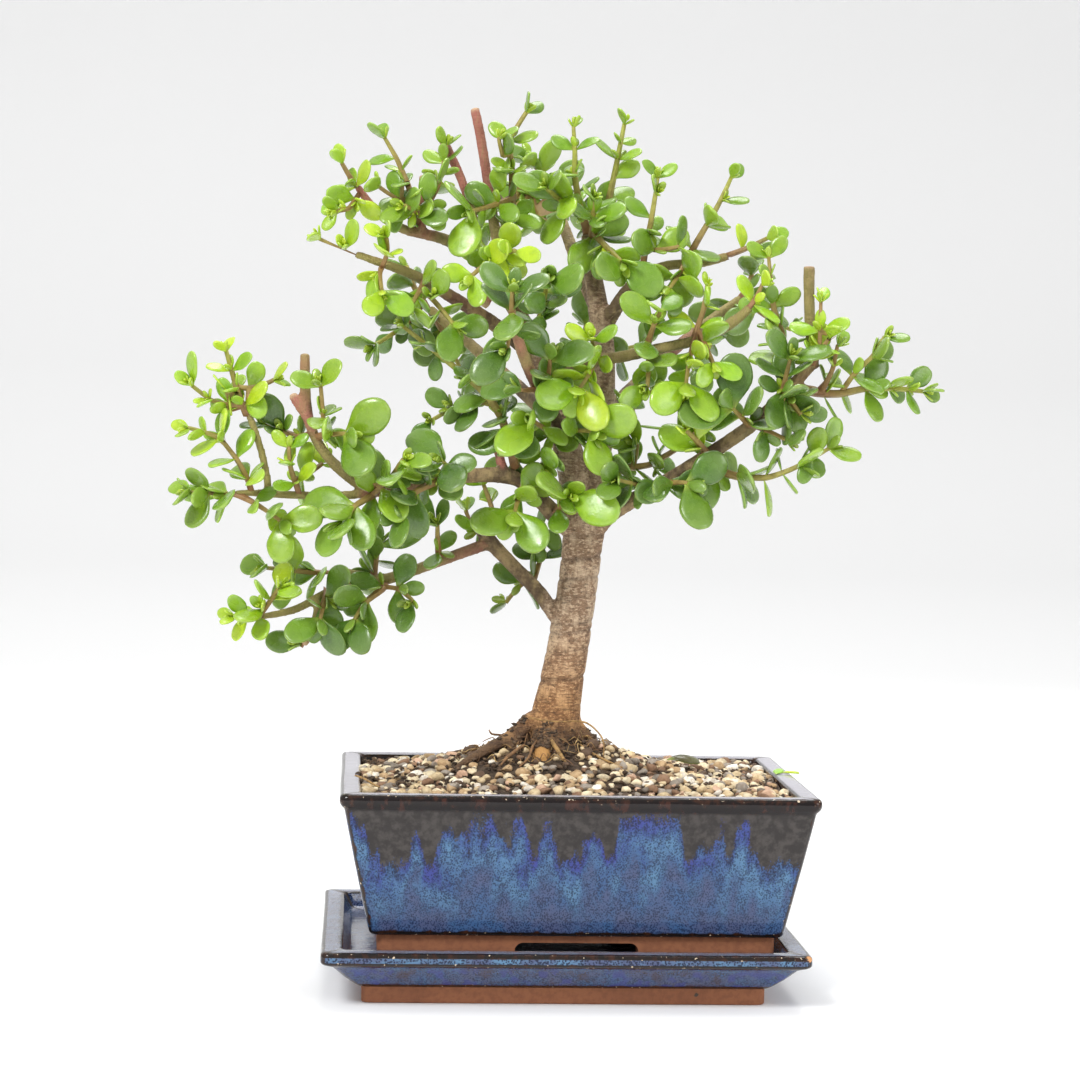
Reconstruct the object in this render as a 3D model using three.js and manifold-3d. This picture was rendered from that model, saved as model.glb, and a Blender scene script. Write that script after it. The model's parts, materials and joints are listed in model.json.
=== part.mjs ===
// A dwarf jade bonsai: a succulent shrub with fleshy leaves in pairs, in a glazed ceramic pot on its saucer.
// Millimetres, +Z up, +X right, +Y away from the viewer. The origin is the centre of the saucer's underside.
import * as THREE from "three";
import { mergeVertices } from "three/addons/utils/BufferGeometryUtils.js";
import Module from "manifold-3d";

// Driving dimensions
const GAP = 0.3;
const SLIVER = 0.03;

const SAUCER_LENGTH = 203.4;
const SAUCER_WIDTH = 153.8;
const SAUCER_HEIGHT = 24.1;
const SAUCER_FOOT_HEIGHT = 7;
const SAUCER_FOOT_INSET = 17.1;
const SAUCER_RIM_THICKNESS = 5.3;
const SAUCER_RIM_WIDTH = 9.2;
const SAUCER_FLOOR = 17.3;

const POT_LENGTH = 200;
const POT_WIDTH = 146;
const POT_TOP = 88.8;
const POT_OFFSET = 5;
const POT_WALL = 9;
const POT_LEAN = 12.9;
const POT_GLAZE_BOTTOM = 28.4;
const POT_INNER_FLOOR = 33;
const POT_FOOT_INSET = 3.6;
const POT_FOOT_THICKNESS = 12;
const POT_RECESS = 25.4;
const ARCH_WIDTH = 52;
const SIDE_ARCH_WIDTH = 34;
const ARCH_HEIGHT = 6;
const DRAIN_DIAMETER = 14;
const DRAIN_SPACING = 84;
const MESH_THICKNESS = 1.2;
const MESH_BORDER = 5;
const MESH_OPENING = 4;
const MESH_STEP = 5.5;

const SOIL_EDGE = 85.5;
const SOIL_MOUND = 16;
const SOIL_MOUND_REACH = 55;
const SOIL_MOUND_NARROWING = 1.3;
const HUMUS_HEIGHT = 7;
const HUMUS_REACH = 24;
const PEBBLE_STEP = 16;
const PEBBLE_RELIEF = 1.6;
const SOIL_SEED = 20;

const STEM_TIP_RADIUS = 0.7;
const SIDE_STEM_SHARE = 0.85;
const SQUARE_REACH = 1.25;
const FIRST_PAIR = 0.9;
const FIRST_SEED = 1002;
const SEED_STEP = 77;

// Leaf sizes: shares of the leaf's length, then of its half width and of its thickness
const LEAF_HALF_WIDTH = 0.38;
const LEAF_THICKNESS = 0.11;
const LEAF_THINNEST = 1.1;
const LEAF_BROADEST = 0.57;
const LEAF_END = 0.97;
const LEAF_END_WIDTH = 0.48;
const LEAF_FACE = 0.6;
const LEAF_BACK = 0.4;
const LEAF_FOOT = 0.9;

// How leaves stand: degrees that they lean from the stem, how much each differs, and the way they face
const LEAN_YOUNG = 48;
const LEAN_OLD = 74;
const TURN_SPREAD = 30;
const LEAN_SPREAD = 24;
const LENGTH_SPREAD = 0.2;
const FACE_SPREAD = 0.9;
const LEAF_DROPPED = 0.13;
const LEAF_DROOP = 0.02;
const DROOP_FROM = 10;
const CROWN_AXIS = [8, 5];
const CROWN_MIDDLE = 22;
const FACE_OUTWARD = 0.45;
const FACE_SIDE = 0.8;
const FACE_ABOVE = 0.55;
const FACE_FORWARD = 0.4;
const FREE_FROM = 0.3;
const OWN_ROOM = 0.05;

// Changes tried in turn on a leaf that would touch another piece: turn and lean in degrees, and size
const LEAF_TRIES = [
  [0, 0, 1], [25, 0, 1], [-25, 0, 1], [0, -22, 1], [45, -12, 0.9], [-45, -12, 0.9], [0, -30, 0.75],
];

// Leaves that have dropped, one on the soil and one on the pot's lip: place, turn and tilt in radians, length
const FALLEN_DARK = { at: [48, 2], turn: 0.3, tilt: 0.12, length: 15 };
const FALLEN_LIME = { at: [97, 6], turn: 1.2, tilt: 0.1, length: 9 };

const GLAZE_ROUGHNESS = 0.2;
const LEAF_ROUGHNESS = 0.35;
const DULL_ROUGHNESS = 0.9;
const COLOURS = {
  glaze: 0x2b4a86,
  mesh: 0x2c2e2c,
  soil: 0xb7a184,
  wood: 0x8a705c,
  lime: 0x9cc23a,
  mid: 0x6a9f3c,
  dark: 0x47743a,
};

// Trunk, limbs, cut stubs and surface roots: radii from foot to end, and the points each passes through
const TRUNK_FOOT = [-5, 0];
const WOOD = {
  trunk: {
    radii: [14.5, 13.4, 11.4, 10.1, 9.6, 9.5, 9.2, 9.1, 9.6, 8.6], sides: 8, steps: 8,
    path: [
      [-5, 0, 82], [-4, 0, 104], [-3, 0, 112], [-1, 0, 119], [2, 0, 134],
      [4, 0, 151], [7, 0, 167], [8, 0, 184], [9, 0, 197], [8, 0, 206],
    ],
  },
  left_leader: {
    radii: [7.6, 7.2, 6.4, 5.8, 5.4, 4.8], sides: 7, steps: 4,
    path: [[8, 0, 196], [4, 2, 224], [-1, 4, 239], [-6, 5, 255], [-11, 6, 270], [-13, 8, 281]],
  },
  right_leader: {
    radii: [7.4, 6.6, 5.6, 5.2, 5.8, 4, 3], sides: 7, steps: 5,
    path: [
      [10, 2, 196], [15, 7, 224], [17, 12, 247], [18, 14, 265],
      [16, 16, 290], [11, 16, 310], [9, 14, 325],
    ],
  },
  left_limb: {
    radii: [4.4, 4.1, 3.7, 3.5, 3.4, 3, 2.7, 2.5, 2.4, 2.3, 2.2, 2.1, 2, 2], sides: 5, steps: 11,
    path: [
      [6, -2, 193], [-1, -6, 199], [-10, -10, 208], [-19, -12, 216], [-26, -14, 221],
      [-42, -17, 219], [-62, -20, 217], [-77, -24, 211], [-86, -26, 212], [-97, -27, 221],
      [-107, -28, 228], [-110, -29, 239], [-113, -29, 250], [-113, -29, 269],
    ],
  },
  left_twig: {
    radii: [1.8, 1.7, 1.5, 1.2], sides: 4, steps: 4,
    path: [[-82, -25, 211], [-105, -25, 209], [-127, -26, 210], [-141, -28, 210]],
  },
  left_riser: {
    radii: [1.5, 1.4, 1.3], sides: 4, steps: 4,
    path: [[-127, -26, 209], [-130, -27, 226], [-136, -29, 243]],
  },
  left_cut_stub: {
    radii: [1.8, 1.7, 1.7], sides: 4, steps: 2,
    path: [[-111, -29, 241], [-115, -28, 247], [-118, -28, 252]],
  },
  elbow_cut_stub: {
    radii: [2.2, 2, 1.9], sides: 4, steps: 2,
    path: [[-27, -14, 220], [-29, -14, 226], [-30, -14, 231]],
  },
  lower_limb: {
    radii: [3.9, 3.4, 3.1, 3, 2.9, 3.3, 3], sides: 5, steps: 6,
    path: [
      [3, 2, 153], [-4, 2, 160], [-11, 4, 170], [-17, 6, 175],
      [-25, 8, 183], [-32, 10, 190], [-36, 10, 196],
    ],
  },
  lower_limb_end: {
    radii: [2.6, 2.4, 2.3, 2.2, 2.1, 1.8, 1.6, 1.5, 1.2], sides: 5, steps: 7,
    path: [
      [-31, 10, 189], [-38, 8, 187], [-53, 6, 181], [-69, 4, 175], [-83, 3, 170],
      [-99, 2, 171], [-107, 1, 164], [-116, 0, 158], [-130, -2, 156],
    ],
  },
  lower_fork: {
    radii: [1.9, 1.7, 1.4], sides: 4, steps: 3,
    path: [[-78, 3, 171], [-90, 6, 175], [-100, 8, 175]],
  },
  lower_cut_stub: {
    radii: [1.6, 1.5, 1.5], sides: 4, steps: 3,
    path: [[-106, 1, 165], [-107, 0, 154], [-112, 0, 144]],
  },
  right_limb: {
    radii: [4.3, 3.7, 3.4, 3.2, 3.1, 3.1, 3, 3, 2.6, 2.2, 2.1], sides: 5, steps: 8,
    path: [
      [11, -3, 194], [19, -8, 204], [30, -12, 211], [41, -14, 215], [60, -18, 230], [70, -20, 236],
      [79, -22, 242], [86, -23, 249], [94, -25, 261], [104, -26, 270], [106, -26, 276],
    ],
  },
  right_cut_stub: {
    radii: [2.3, 2.2, 2.2, 2.4], sides: 5, steps: 3,
    path: [[104, -26, 268], [102, -26, 284], [101, -26, 300], [101, -26, 311]],
  },
  right_knob: {
    radii: [2.2, 2.3, 1.9], sides: 4, steps: 3,
    path: [[91, -24, 256], [99, -25, 259], [106, -25, 258]],
  },
  middle_right_limb: {
    radii: [3, 2.7, 2.5, 2.3, 2.2, 2.1, 2, 1.8], sides: 5, steps: 6,
    path: [
      [-7, 3, 257], [2, -8, 269], [16, -16, 269], [31, -20, 274],
      [47, -24, 277], [60, -27, 280], [71, -29, 288], [75, -30, 293],
    ],
  },
  upper_left_limb: {
    radii: [4.2, 3.5, 3, 2.7, 2.4, 2.2, 2, 1.8, 1.4], sides: 5, steps: 6,
    path: [
      [-12, 8, 273], [-23, 6, 295], [-37, 2, 311], [-47, 0, 318], [-57, -4, 322],
      [-67, -8, 322], [-76, -10, 325], [-86, -12, 331], [-92, -13, 341],
    ],
  },
  upper_left_cut_stub: {
    radii: [2, 1.9, 1.9], sides: 4, steps: 3,
    path: [[-65, -8, 322], [-64, -8, 334], [-64, -8, 347]],
  },
  upper_left_long_stub: {
    radii: [2.2, 1.9, 1.8, 1.9], sides: 5, steps: 3,
    path: [[-38, 1, 311], [-44, 2, 342], [-52, 2, 357], [-57, 2, 366]],
  },
  hanging_cut_stub: {
    radii: [2.1, 2, 2.1], sides: 4, steps: 2,
    path: [[-29, 3, 303], [-34, -10, 298], [-37, -16, 292]],
  },
  middle_left_limb: {
    radii: [3.5, 3.1, 2.8, 2.5, 2, 1.6, 1.3], sides: 5, steps: 5,
    path: [
      [-11, 6, 269], [-30, -4, 284], [-47, -10, 292], [-59, -14, 301],
      [-71, -18, 306], [-83, -20, 309], [-92, -21, 312],
    ],
  },
  upper_right_limb: {
    radii: [3.6, 2.9, 2.4, 2.1, 2, 1.7], sides: 5, steps: 4,
    path: [[16, 16, 281], [25, 8, 301], [34, 0, 311], [49, -4, 313], [58, -6, 312], [68, -8, 316]],
  },
  top_cut_stub: {
    radii: [2.6, 2.3, 2.1, 2, 2], sides: 5, steps: 4,
    path: [[-24, 6, 295], [-31, 8, 317], [-35, 8, 343], [-38, 8, 362], [-42, 8, 378]],
  },
  back_left_limb: {
    radii: [3.8, 3, 2.4, 2], sides: 5, steps: 3,
    path: [[-1, 4, 239], [-18, 30, 257], [-40, 55, 277], [-58, 70, 293]],
  },
  back_right_limb: {
    radii: [3.8, 3, 2.4, 2], sides: 5, steps: 3,
    path: [[17, 12, 244], [36, 38, 262], [61, 60, 284], [85, 70, 301]],
  },
  back_top_limb: {
    radii: [3.6, 2.8, 2.3, 1.9], sides: 5, steps: 3,
    path: [[16, 16, 288], [6, 40, 315], [0, 60, 337], [-6, 72, 354]],
  },
  front_limb: {
    radii: [3.4, 2.8, 2.4, 2], sides: 5, steps: 4,
    path: [[1, 3, 235], [-11, -20, 252], [-21, -42, 268], [-27, -58, 284]],
  },
  left_root: {
    radii: [4.6, 3.6, 2.8, 2.3, 2, 1.7, 1.2], sides: 5, steps: 5,
    path: [
      [-8, -3, 116], [-14, -7, 112], [-20, -10, 107], [-26, -12, 103],
      [-35, -15, 100], [-42, -17, 96], [-48, -19, 90],
    ],
  },
  front_left_root: {
    radii: [1.9, 1.7, 1.5, 1.3], sides: 4, steps: 3,
    path: [[-17, -9, 108], [-21, -14, 101], [-27, -18, 95], [-30, -20, 90]],
  },
  front_root: {
    radii: [5.5, 5, 4.7, 3], sides: 6, steps: 3,
    path: [[-5, -6, 109], [-7, -13, 104], [-9, -20, 98], [-10, -25, 91]],
  },
  front_right_root: {
    radii: [2.6, 2.2, 1.8, 1.5], sides: 4, steps: 3,
    path: [[-4, -8, 111], [-3, -14, 105], [2, -18, 98], [6, -21, 92]],
  },
  right_root: {
    radii: [5.5, 4.4, 3.2, 2], sides: 5, steps: 3,
    path: [[2, 0, 114], [9, 1, 106], [17, 2, 99], [29, 4, 91]],
  },
  back_root: {
    radii: [5.5, 4.6, 3.6, 2], sides: 5, steps: 3,
    path: [[-4, 3, 114], [-5, 12, 106], [-8, 21, 99], [-14, 33, 90]],
  },
};

// Sprays of leafy stems: tone, stem radius at the foot, then the main stem and the side stems that leave it.
// Each stem has its path, the turn of its first pair of leaves, and each pair's leaf length from the foot on.
const SPRAYS = {
  far_left_crown: [
    "lime", 1.3,
    {
      path: [[-137, -29, 243], [-140, -30, 250], [-143, -31, 260], [-146, -32, 270]],
      turn: 70, leaves: [13, 12, 11, 9],
    },
    { at: 0.2, path: [[-150, -34, 248], [-160, -36, 255]], turn: 80, leaves: [12, 11, 14] },
    { at: 0.5, path: [[-133, -27, 254], [-126, -25, 258]], turn: 60, leaves: [12, 10] },
  ],
  far_left_tips: [
    "lime", 1.2,
    {
      path: [[-134, -27, 210], [-137, -30, 218], [-142, -32, 226], [-147, -33, 232]],
      turn: 20, leaves: [14, 12, 9],
    },
    { at: 0.75, path: [[-151, -35, 236], [-161, -37, 237]], turn: 70, leaves: [12, 9] },
  ],
  far_left_low: [
    "mid", 1.2,
    { path: [[-140, -28, 210], [-150, -30, 210], [-160, -32, 210]], turn: 75, leaves: [15, 15, 13] },
    { at: 0.15, path: [[-128, -34, 204], [-122, -38, 199]], turn: 10, leaves: [12, 18] },
  ],
  left_upright: [
    "lime", 1.2,
    { path: [[-114, -26, 210], [-118, -30, 220], [-119, -31, 230]], turn: 80, leaves: [12, 11, 9] },
    { at: 0.3, path: [[-111, -22, 218], [-105, -18, 223]], turn: 20, leaves: [14, 12] },
  ],
  left_big_pair: [
    "mid", 1.3,
    { path: [[-109, -28, 233], [-103, -36, 236], [-95, -41, 236]], turn: 75, leaves: [13, 22] },
    { at: 0.4, path: [[-105, -38, 247], [-106, -40, 256]], turn: 80, leaves: [13, 13] },
  ],
  left_inner: [
    "dark", 1.3,
    {
      path: [[-110, -29, 236], [-116, -24, 234], [-123, -20, 237], [-129, -18, 239]],
      turn: 70, leaves: [14, 16, 12],
    },
  ],
  left_middle_front: [
    "mid", 1.5,
    {
      path: [[-82, -25, 211], [-84, -34, 210], [-92, -40, 205], [-95, -43, 200]],
      turn: 75, leaves: [14, 20, 18],
    },
    { at: 0.3, path: [[-76, -38, 218], [-71, -42, 226]], turn: 70, leaves: [18, 17, 14] },
  ],
  left_middle_large: [
    "dark", 1.5,
    {
      path: [[-51, -18, 218], [-58, -28, 216], [-67, -34, 211], [-73, -37, 204]],
      turn: 70, leaves: [15, 18, 17],
    },
    { at: 0.25, path: [[-50, -35, 222], [-54, -39, 225]], turn: 80, leaves: [22] },
  ],
  lower_far_tip: [
    "mid", 1.3,
    {
      path: [[-100, 8, 175], [-109, 5, 175], [-118, 2, 176], [-129, 0, 177]],
      turn: 75, leaves: [16, 17, 15],
    },
  ],
  lower_hanging: [
    "dark", 1.4,
    { path: [[-82, 3, 170], [-82, 12, 178], [-80, 14, 187]], turn: 70, leaves: [18, 18] },
  ],
  lower_left_tip: [
    "lime", 1.2,
    { path: [[-129, -2, 156], [-135, -4, 156], [-142, -6, 156]], turn: 70, leaves: [13, 12, 9] },
    { at: 0.25, path: [[-127, -10, 162], [-123, -14, 169]], turn: 20, leaves: [15, 13] },
  ],
  lower_round: [
    "dark", 1.3,
    { path: [[-103, 2, 168], [-103, -8, 163], [-105, -12, 156]], turn: 75, leaves: [16, 16] },
    { at: 0.3, path: [[-108, -2, 152], [-113, 0, 143]], turn: 80, leaves: [14] },
  ],
  lower_middle: [
    "dark", 1.4,
    {
      path: [[-76, 4, 172], [-79, -4, 168], [-86, -8, 163], [-90, -12, 156]],
      turn: 75, leaves: [14, 17, 17],
    },
    { at: 0.2, path: [[-69, -10, 169], [-65, -12, 164]], turn: 80, leaves: [15, 14] },
  ],
  lower_upright: [
    "dark", 1.3,
    { path: [[-53, 6, 181], [-55, 0, 188], [-55, -4, 197]], turn: 70, leaves: [12, 19] },
  ],
  lower_knob: [
    "mid", 1.3,
    {
      path: [[-31, 10, 191], [-29, 12, 199], [-32, 10, 208], [-35, 8, 215]],
      turn: 70, leaves: [13, 13, 12],
    },
    { at: 0.2, path: [[-40, 15, 194], [-42, 17, 203]], turn: 60, leaves: [12, 11] },
  ],
  lower_inner: [
    "dark", 1.2,
    { path: [[-13, 5, 172], [-11, 16, 174], [-8, 20, 184], [-8, 22, 195]], turn: 75, leaves: [12, 14, 11] },
    { at: 0.35, path: [[-19, 22, 169], [-23, 24, 162]], turn: 70, leaves: [13, 12] },
  ],
  left_fork_hanging: [
    "mid", 1.4,
    { path: [[-19, -12, 216], [-21, -22, 211], [-23, -28, 204]], turn: 75, leaves: [15, 20] },
  ],
  trunk_front: [
    "mid", 1.4,
    { path: [[-4, -7, 202], [-3, -20, 208], [0, -28, 212]], turn: 75, leaves: [14, 21] },
  ],
  long_green: [
    "dark", 1.8,
    {
      path: [[-22, -14, 223], [-29, -20, 244], [-39, -22, 257], [-56, -24, 270], [-72, -26, 282]],
      turn: 70, leaves: [16, 16, 15, 14, 13, 12, 10],
    },
    { at: 0.35, path: [[-42, -14, 251], [-51, -10, 247], [-59, -8, 242]], turn: 70, leaves: [16, 14, 11] },
  ],
  left_canopy_tip: [
    "lime", 1.1,
    { path: [[-92, -21, 312], [-100, -23, 315], [-108, -25, 318]], turn: 75, leaves: [13, 11] },
  ],
  left_canopy_yellow: [
    "lime", 1.2,
    { path: [[-80, -20, 308], [-83, -28, 303], [-81, -32, 296]], turn: 75, leaves: [14, 15] },
    { at: 0.2, path: [[-78, -28, 315], [-80, -32, 319]], turn: 70, leaves: [14, 10] },
  ],
  left_canopy_low: [
    "mid", 1.3,
    { path: [[-63, -15, 302], [-65, -25, 297], [-69, -30, 290]], turn: 75, leaves: [14, 15] },
    { at: 0.4, path: [[-57, -32, 291], [-51, -34, 283]], turn: 70, leaves: [14, 16] },
  ],
  upper_left_tip: [
    "lime", 1.2,
    { path: [[-89, -12, 336], [-95, -14, 344], [-99, -15, 351]], turn: 70, leaves: [12, 10] },
    { at: 0.2, path: [[-95, -18, 332], [-101, -21, 330]], turn: 60, leaves: [13, 12, 9] },
  ],
  upper_left_crown: [
    "mid", 1.4,
    {
      path: [[-65, -8, 325], [-69, -14, 338], [-75, -16, 352], [-81, -16, 362]],
      turn: 75, leaves: [14, 13, 11, 10],
    },
    { at: 0.3, path: [[-77, -18, 336], [-83, -20, 341]], turn: 70, leaves: [13, 12] },
    {
      at: 0.2, path: [[-61, -15, 335], [-57, -10, 345], [-55, -4, 354], [-54, -2, 361]],
      turn: 70, leaves: [13, 12, 11, 9],
    },
    { at: 0.15, path: [[-68, -20, 331], [-72, -24, 333]], turn: 75, leaves: [15, 12] },
  ],
  top_left_crown: [
    "mid", 1.6,
    {
      path: [[-30, 8, 321], [-24, 4, 337], [-26, 0, 353], [-27, -2, 365], [-20, -3, 376]],
      turn: 60, leaves: [15, 14, 12, 10],
    },
    { at: 0.3, path: [[-36, -8, 334], [-43, -16, 332]], turn: 80, leaves: [14, 20] },
    { at: 0.6, path: [[-31, -8, 357], [-32, -10, 364]], turn: 70, leaves: [12, 9] },
  ],
  upper_left_front: [
    "lime", 1.4,
    { path: [[-34, 4, 312], [-31, -14, 314], [-25, -26, 315]], turn: 70, leaves: [14, 15, 12] },
    { at: 0.4, path: [[-39, -22, 308], [-43, -26, 304]], turn: 80, leaves: [14, 13] },
  ],
  top_crown: [
    "mid", 1.6,
    { path: [[9, 14, 325], [3, 8, 344], [2, 5, 359], [1, 4, 371]], turn: 75, leaves: [15, 13, 11, 10] },
    { at: 0.2, path: [[-5, -4, 337], [-11, -10, 343]], turn: 70, leaves: [17, 14] },
  ],
  top_front: [
    "mid", 1.5,
    { path: [[10, 15, 319], [10, -2, 330], [9, -8, 339]], turn: 70, leaves: [18, 16, 12] },
    { at: 0.3, path: [[17, -8, 317], [21, -18, 312]], turn: 80, leaves: [15, 21] },
  ],
  top_right_crown: [
    "mid", 1.5,
    {
      path: [[11, 16, 313], [17, 16, 334], [21, 14, 355], [24, 12, 374]],
      turn: 60, leaves: [15, 14, 12, 10],
    },
  ],
  upper_right_front: [
    "mid", 1.4,
    {
      path: [[31, 2, 307], [34, -6, 326], [36, -8, 340], [37, -8, 349]],
      turn: 75, leaves: [15, 14, 11, 9],
    },
    { at: 0.2, path: [[39, -12, 317], [46, -16, 319]], turn: 80, leaves: [16, 13] },
  ],
  upper_right_crown: [
    "mid", 1.4,
    {
      path: [[50, -4, 313], [56, -6, 324], [64, -7, 338], [69, -8, 350]],
      turn: 70, leaves: [14, 13, 11, 9],
    },
    { at: 0.1, path: [[46, -16, 306], [42, -20, 301]], turn: 80, leaves: [17, 14] },
  ],
  upper_right_tip: [
    "lime", 1.1,
    { path: [[68, -8, 316], [78, -10, 320], [85, -11, 324]], turn: 70, leaves: [12, 11] },
  ],
  right_riser: [
    "mid", 1.6,
    {
      path: [[92, -24, 258], [92, -24, 278], [87, -24, 290], [85, -23, 304], [84, -22, 315]],
      turn: 75, leaves: [15, 14, 13, 11, 10],
    },
  ],
  right_middle_crown: [
    "lime", 1.4,
    { path: [[51, -24, 278], [56, -26, 291], [57, -27, 302]], turn: 75, leaves: [14, 12, 9] },
    { at: 0.2, path: [[49, -32, 268], [48, -36, 260]], turn: 80, leaves: [13, 19] },
    { at: 0.2, path: [[57, -33, 275], [59, -37, 269]], turn: 75, leaves: [15, 12] },
  ],
  right_middle_tip: [
    "lime", 1.2,
    { path: [[73, -30, 291], [78, -31, 297], [80, -32, 303]], turn: 75, leaves: [13, 10] },
  ],
  right_middle_front: [
    "mid", 1.4,
    { path: [[32, -20, 274], [34, -28, 283], [37, -32, 291]], turn: 70, leaves: [15, 16, 12] },
    { at: 0.2, path: [[33, -28, 266], [32, -32, 258]], turn: 80, leaves: [14, 14] },
  ],
  center_yellow: [
    "lime", 1.3,
    { path: [[13, -14, 269], [10, -26, 272], [8, -32, 278]], turn: 75, leaves: [13, 12] },
    { at: 0.3, path: [[8, -28, 263], [3, -33, 257]], turn: 80, leaves: [14, 21] },
  ],
  front_crown: [
    "dark", 1.5,
    { path: [[-27, -58, 284], [-28, -62, 290], [-28, -66, 296]], turn: 75, leaves: [19, 16] },
    { at: 0.15, path: [[-31, -62, 278], [-29, -64, 272]], turn: 80, leaves: [20] },
  ],
  center_glossy: [
    "dark", 1.4,
    { path: [[-14, 8, 280], [-11, -16, 295], [-11, -28, 303]], turn: 75, leaves: [16, 20] },
  ],
  center_dark: [
    "dark", 1.4,
    { path: [[-11, -20, 252], [-10, -32, 260], [-10, -38, 269]], turn: 75, leaves: [15, 19] },
    { at: 0.3, path: [[-17, -34, 254], [-22, -38, 256]], turn: 80, leaves: [16] },
  ],
  center_low: [
    "mid", 1.5,
    { path: [[-2, 2, 237], [-9, -18, 238], [-16, -32, 243]], turn: 75, leaves: [15, 21] },
    { at: 0.35, path: [[2, -24, 240], [9, -30, 239]], turn: 75, leaves: [15, 19] },
    { at: 0.35, path: [[-9, -20, 229], [-12, -24, 224]], turn: 80, leaves: [16] },
  ],
  right_dark: [
    "dark", 1.4,
    { path: [[79, -22, 242], [74, -32, 245], [68, -36, 250]], turn: 75, leaves: [14, 22] },
    { at: 0.3, path: [[86, -32, 240], [92, -34, 237]], turn: 75, leaves: [14, 14] },
  ],
  right_front: [
    "dark", 1.4,
    { path: [[91, -24, 256], [90, -34, 261], [92, -38, 272]], turn: 75, leaves: [17, 18] },
    { at: 0.35, path: [[92, -36, 254], [97, -38, 248]], turn: 75, leaves: [19, 12] },
  ],
  right_light: [
    "lime", 1.3,
    { path: [[102, -26, 268], [105, -34, 275], [109, -36, 281]], turn: 75, leaves: [14, 19, 11] },
    { at: 0.5, path: [[105, -34, 288], [105, -34, 296]], turn: 75, leaves: [12, 9] },
  ],
  far_right: [
    "mid", 1.7,
    {
      path: [[98, -25, 258], [113, -25, 257], [128, -27, 260], [141, -28, 260], [151, -29, 259]],
      turn: 70, leaves: [15, 15, 14, 13, 12, 11],
    },
    { at: 0.3, path: [[122, -30, 268], [129, -31, 274], [133, -32, 282]], turn: 75, leaves: [14, 13, 11] },
    { at: 0.15, path: [[111, -30, 266], [113, -32, 278]], turn: 70, leaves: [14, 12, 9] },
  ],
  right_long_low: [
    "mid", 1.6,
    {
      path: [[57, -17, 228], [71, -22, 221], [91, -26, 222], [111, -30, 234]],
      turn: 70, leaves: [18, 18, 17, 15, 13],
    },
  ],
  right_hanging: [
    "dark", 1.5,
    { path: [[38, -13, 214], [42, -26, 219], [50, -32, 218]], turn: 75, leaves: [16, 20] },
    { at: 0.3, path: [[29, -26, 216], [20, -32, 219]], turn: 75, leaves: [15, 16] },
  ],
  right_glossy: [
    "lime", 1.4,
    { path: [[60, -18, 230], [55, -28, 235], [48, -34, 241]], turn: 75, leaves: [18, 17, 10] },
  ],
  right_inner: [
    "mid", 1.6,
    {
      path: [[15, 7, 224], [31, -4, 223], [48, -10, 232], [65, -14, 249]],
      turn: 70, leaves: [14, 15, 15, 13],
    },
    { at: 0.3, path: [[32, -2, 237], [29, -2, 251], [37, -6, 257]], turn: 75, leaves: [15, 15, 12] },
  ],
  back_left: [
    "dark", 1.6,
    { path: [[-58, 70, 293], [-65, 74, 302], [-69, 76, 313]], turn: 70, leaves: [17, 15, 12] },
    { at: 0.2, path: [[-48, 76, 277], [-41, 78, 261]], turn: 75, leaves: [17, 16] },
    { at: 0.2, path: [[-72, 60, 281], [-83, 52, 276]], turn: 70, leaves: [16, 14] },
  ],
  back_right: [
    "dark", 1.6,
    { path: [[85, 70, 301], [90, 72, 310], [90, 72, 320]], turn: 70, leaves: [17, 15, 12] },
    { at: 0.2, path: [[75, 78, 287], [68, 80, 270]], turn: 75, leaves: [17, 16] },
    { at: 0.2, path: [[95, 60, 291], [106, 52, 287]], turn: 70, leaves: [16, 14] },
  ],
  back_top: [
    "mid", 1.6,
    { path: [[-6, 72, 354], [-10, 74, 359], [-13, 74, 366]], turn: 70, leaves: [16, 14, 11] },
    { at: 0.2, path: [[-17, 76, 342], [-31, 76, 333]], turn: 75, leaves: [17, 15] },
    { at: 0.2, path: [[8, 78, 345], [25, 80, 339]], turn: 70, leaves: [17, 15, 12] },
  ],
  back_middle: [
    "dark", 1.6,
    {
      path: [[-2, 10, 239], [6, 45, 253], [11, 66, 271], [14, 74, 288]],
      turn: 70, leaves: [18, 17, 15],
    },
    { at: 0.5, path: [[0, 66, 253], [-11, 72, 243]], turn: 75, leaves: [17, 15] },
    { at: 0.7, path: [[28, 74, 276], [40, 76, 279]], turn: 70, leaves: [17, 14] },
  ],
};

const wasm = await Module();
wasm.setup();

const bonsai = new THREE.Group();
bonsai.name = "dwarf_jade_bonsai";

function vector([x, y, z]) {
  return new THREE.Vector3(x, y, z);
}

// A repeatable draw between 0 and 1
function seededDraw(seed) {
  let state = seed;
  return () => {
    state = (state * 1664525 + 1013904223) % 4294967296;
    return state / 4294967296;
  };
}

// The geometry with only its positions, and each point that faces share kept once
function joined(geometry) {
  const bare = geometry.clone();
  bare.deleteAttribute("normal");
  bare.deleteAttribute("uv");
  return mergeVertices(bare, 1e-4);
}

function solidFrom(geometry) {
  const merged = joined(geometry);
  return new wasm.Manifold(
    new wasm.Mesh({
      numProp: 3,
      vertProperties: merged.attributes.position.array,
      triVerts: new Uint32Array(merged.index.array),
    }),
  );
}

function geometryFrom(solid) {
  const { vertProperties, triVerts } = solid.getMesh();
  const geometry = new THREE.BufferGeometry();
  geometry.setAttribute("position", new THREE.BufferAttribute(new Float32Array(vertProperties), 3));
  geometry.setIndex(new THREE.BufferAttribute(new Uint32Array(triVerts), 1));
  geometry.computeVertexNormals();
  return geometry;
}

function addPiece(name, solid, material) {
  const mesh = new THREE.Mesh(geometryFrom(solid), material);
  mesh.name = name;
  bonsai.add(mesh);
}

function finish(color, roughness) {
  return new THREE.MeshStandardMaterial({ color, roughness, metalness: 0 });
}

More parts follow.
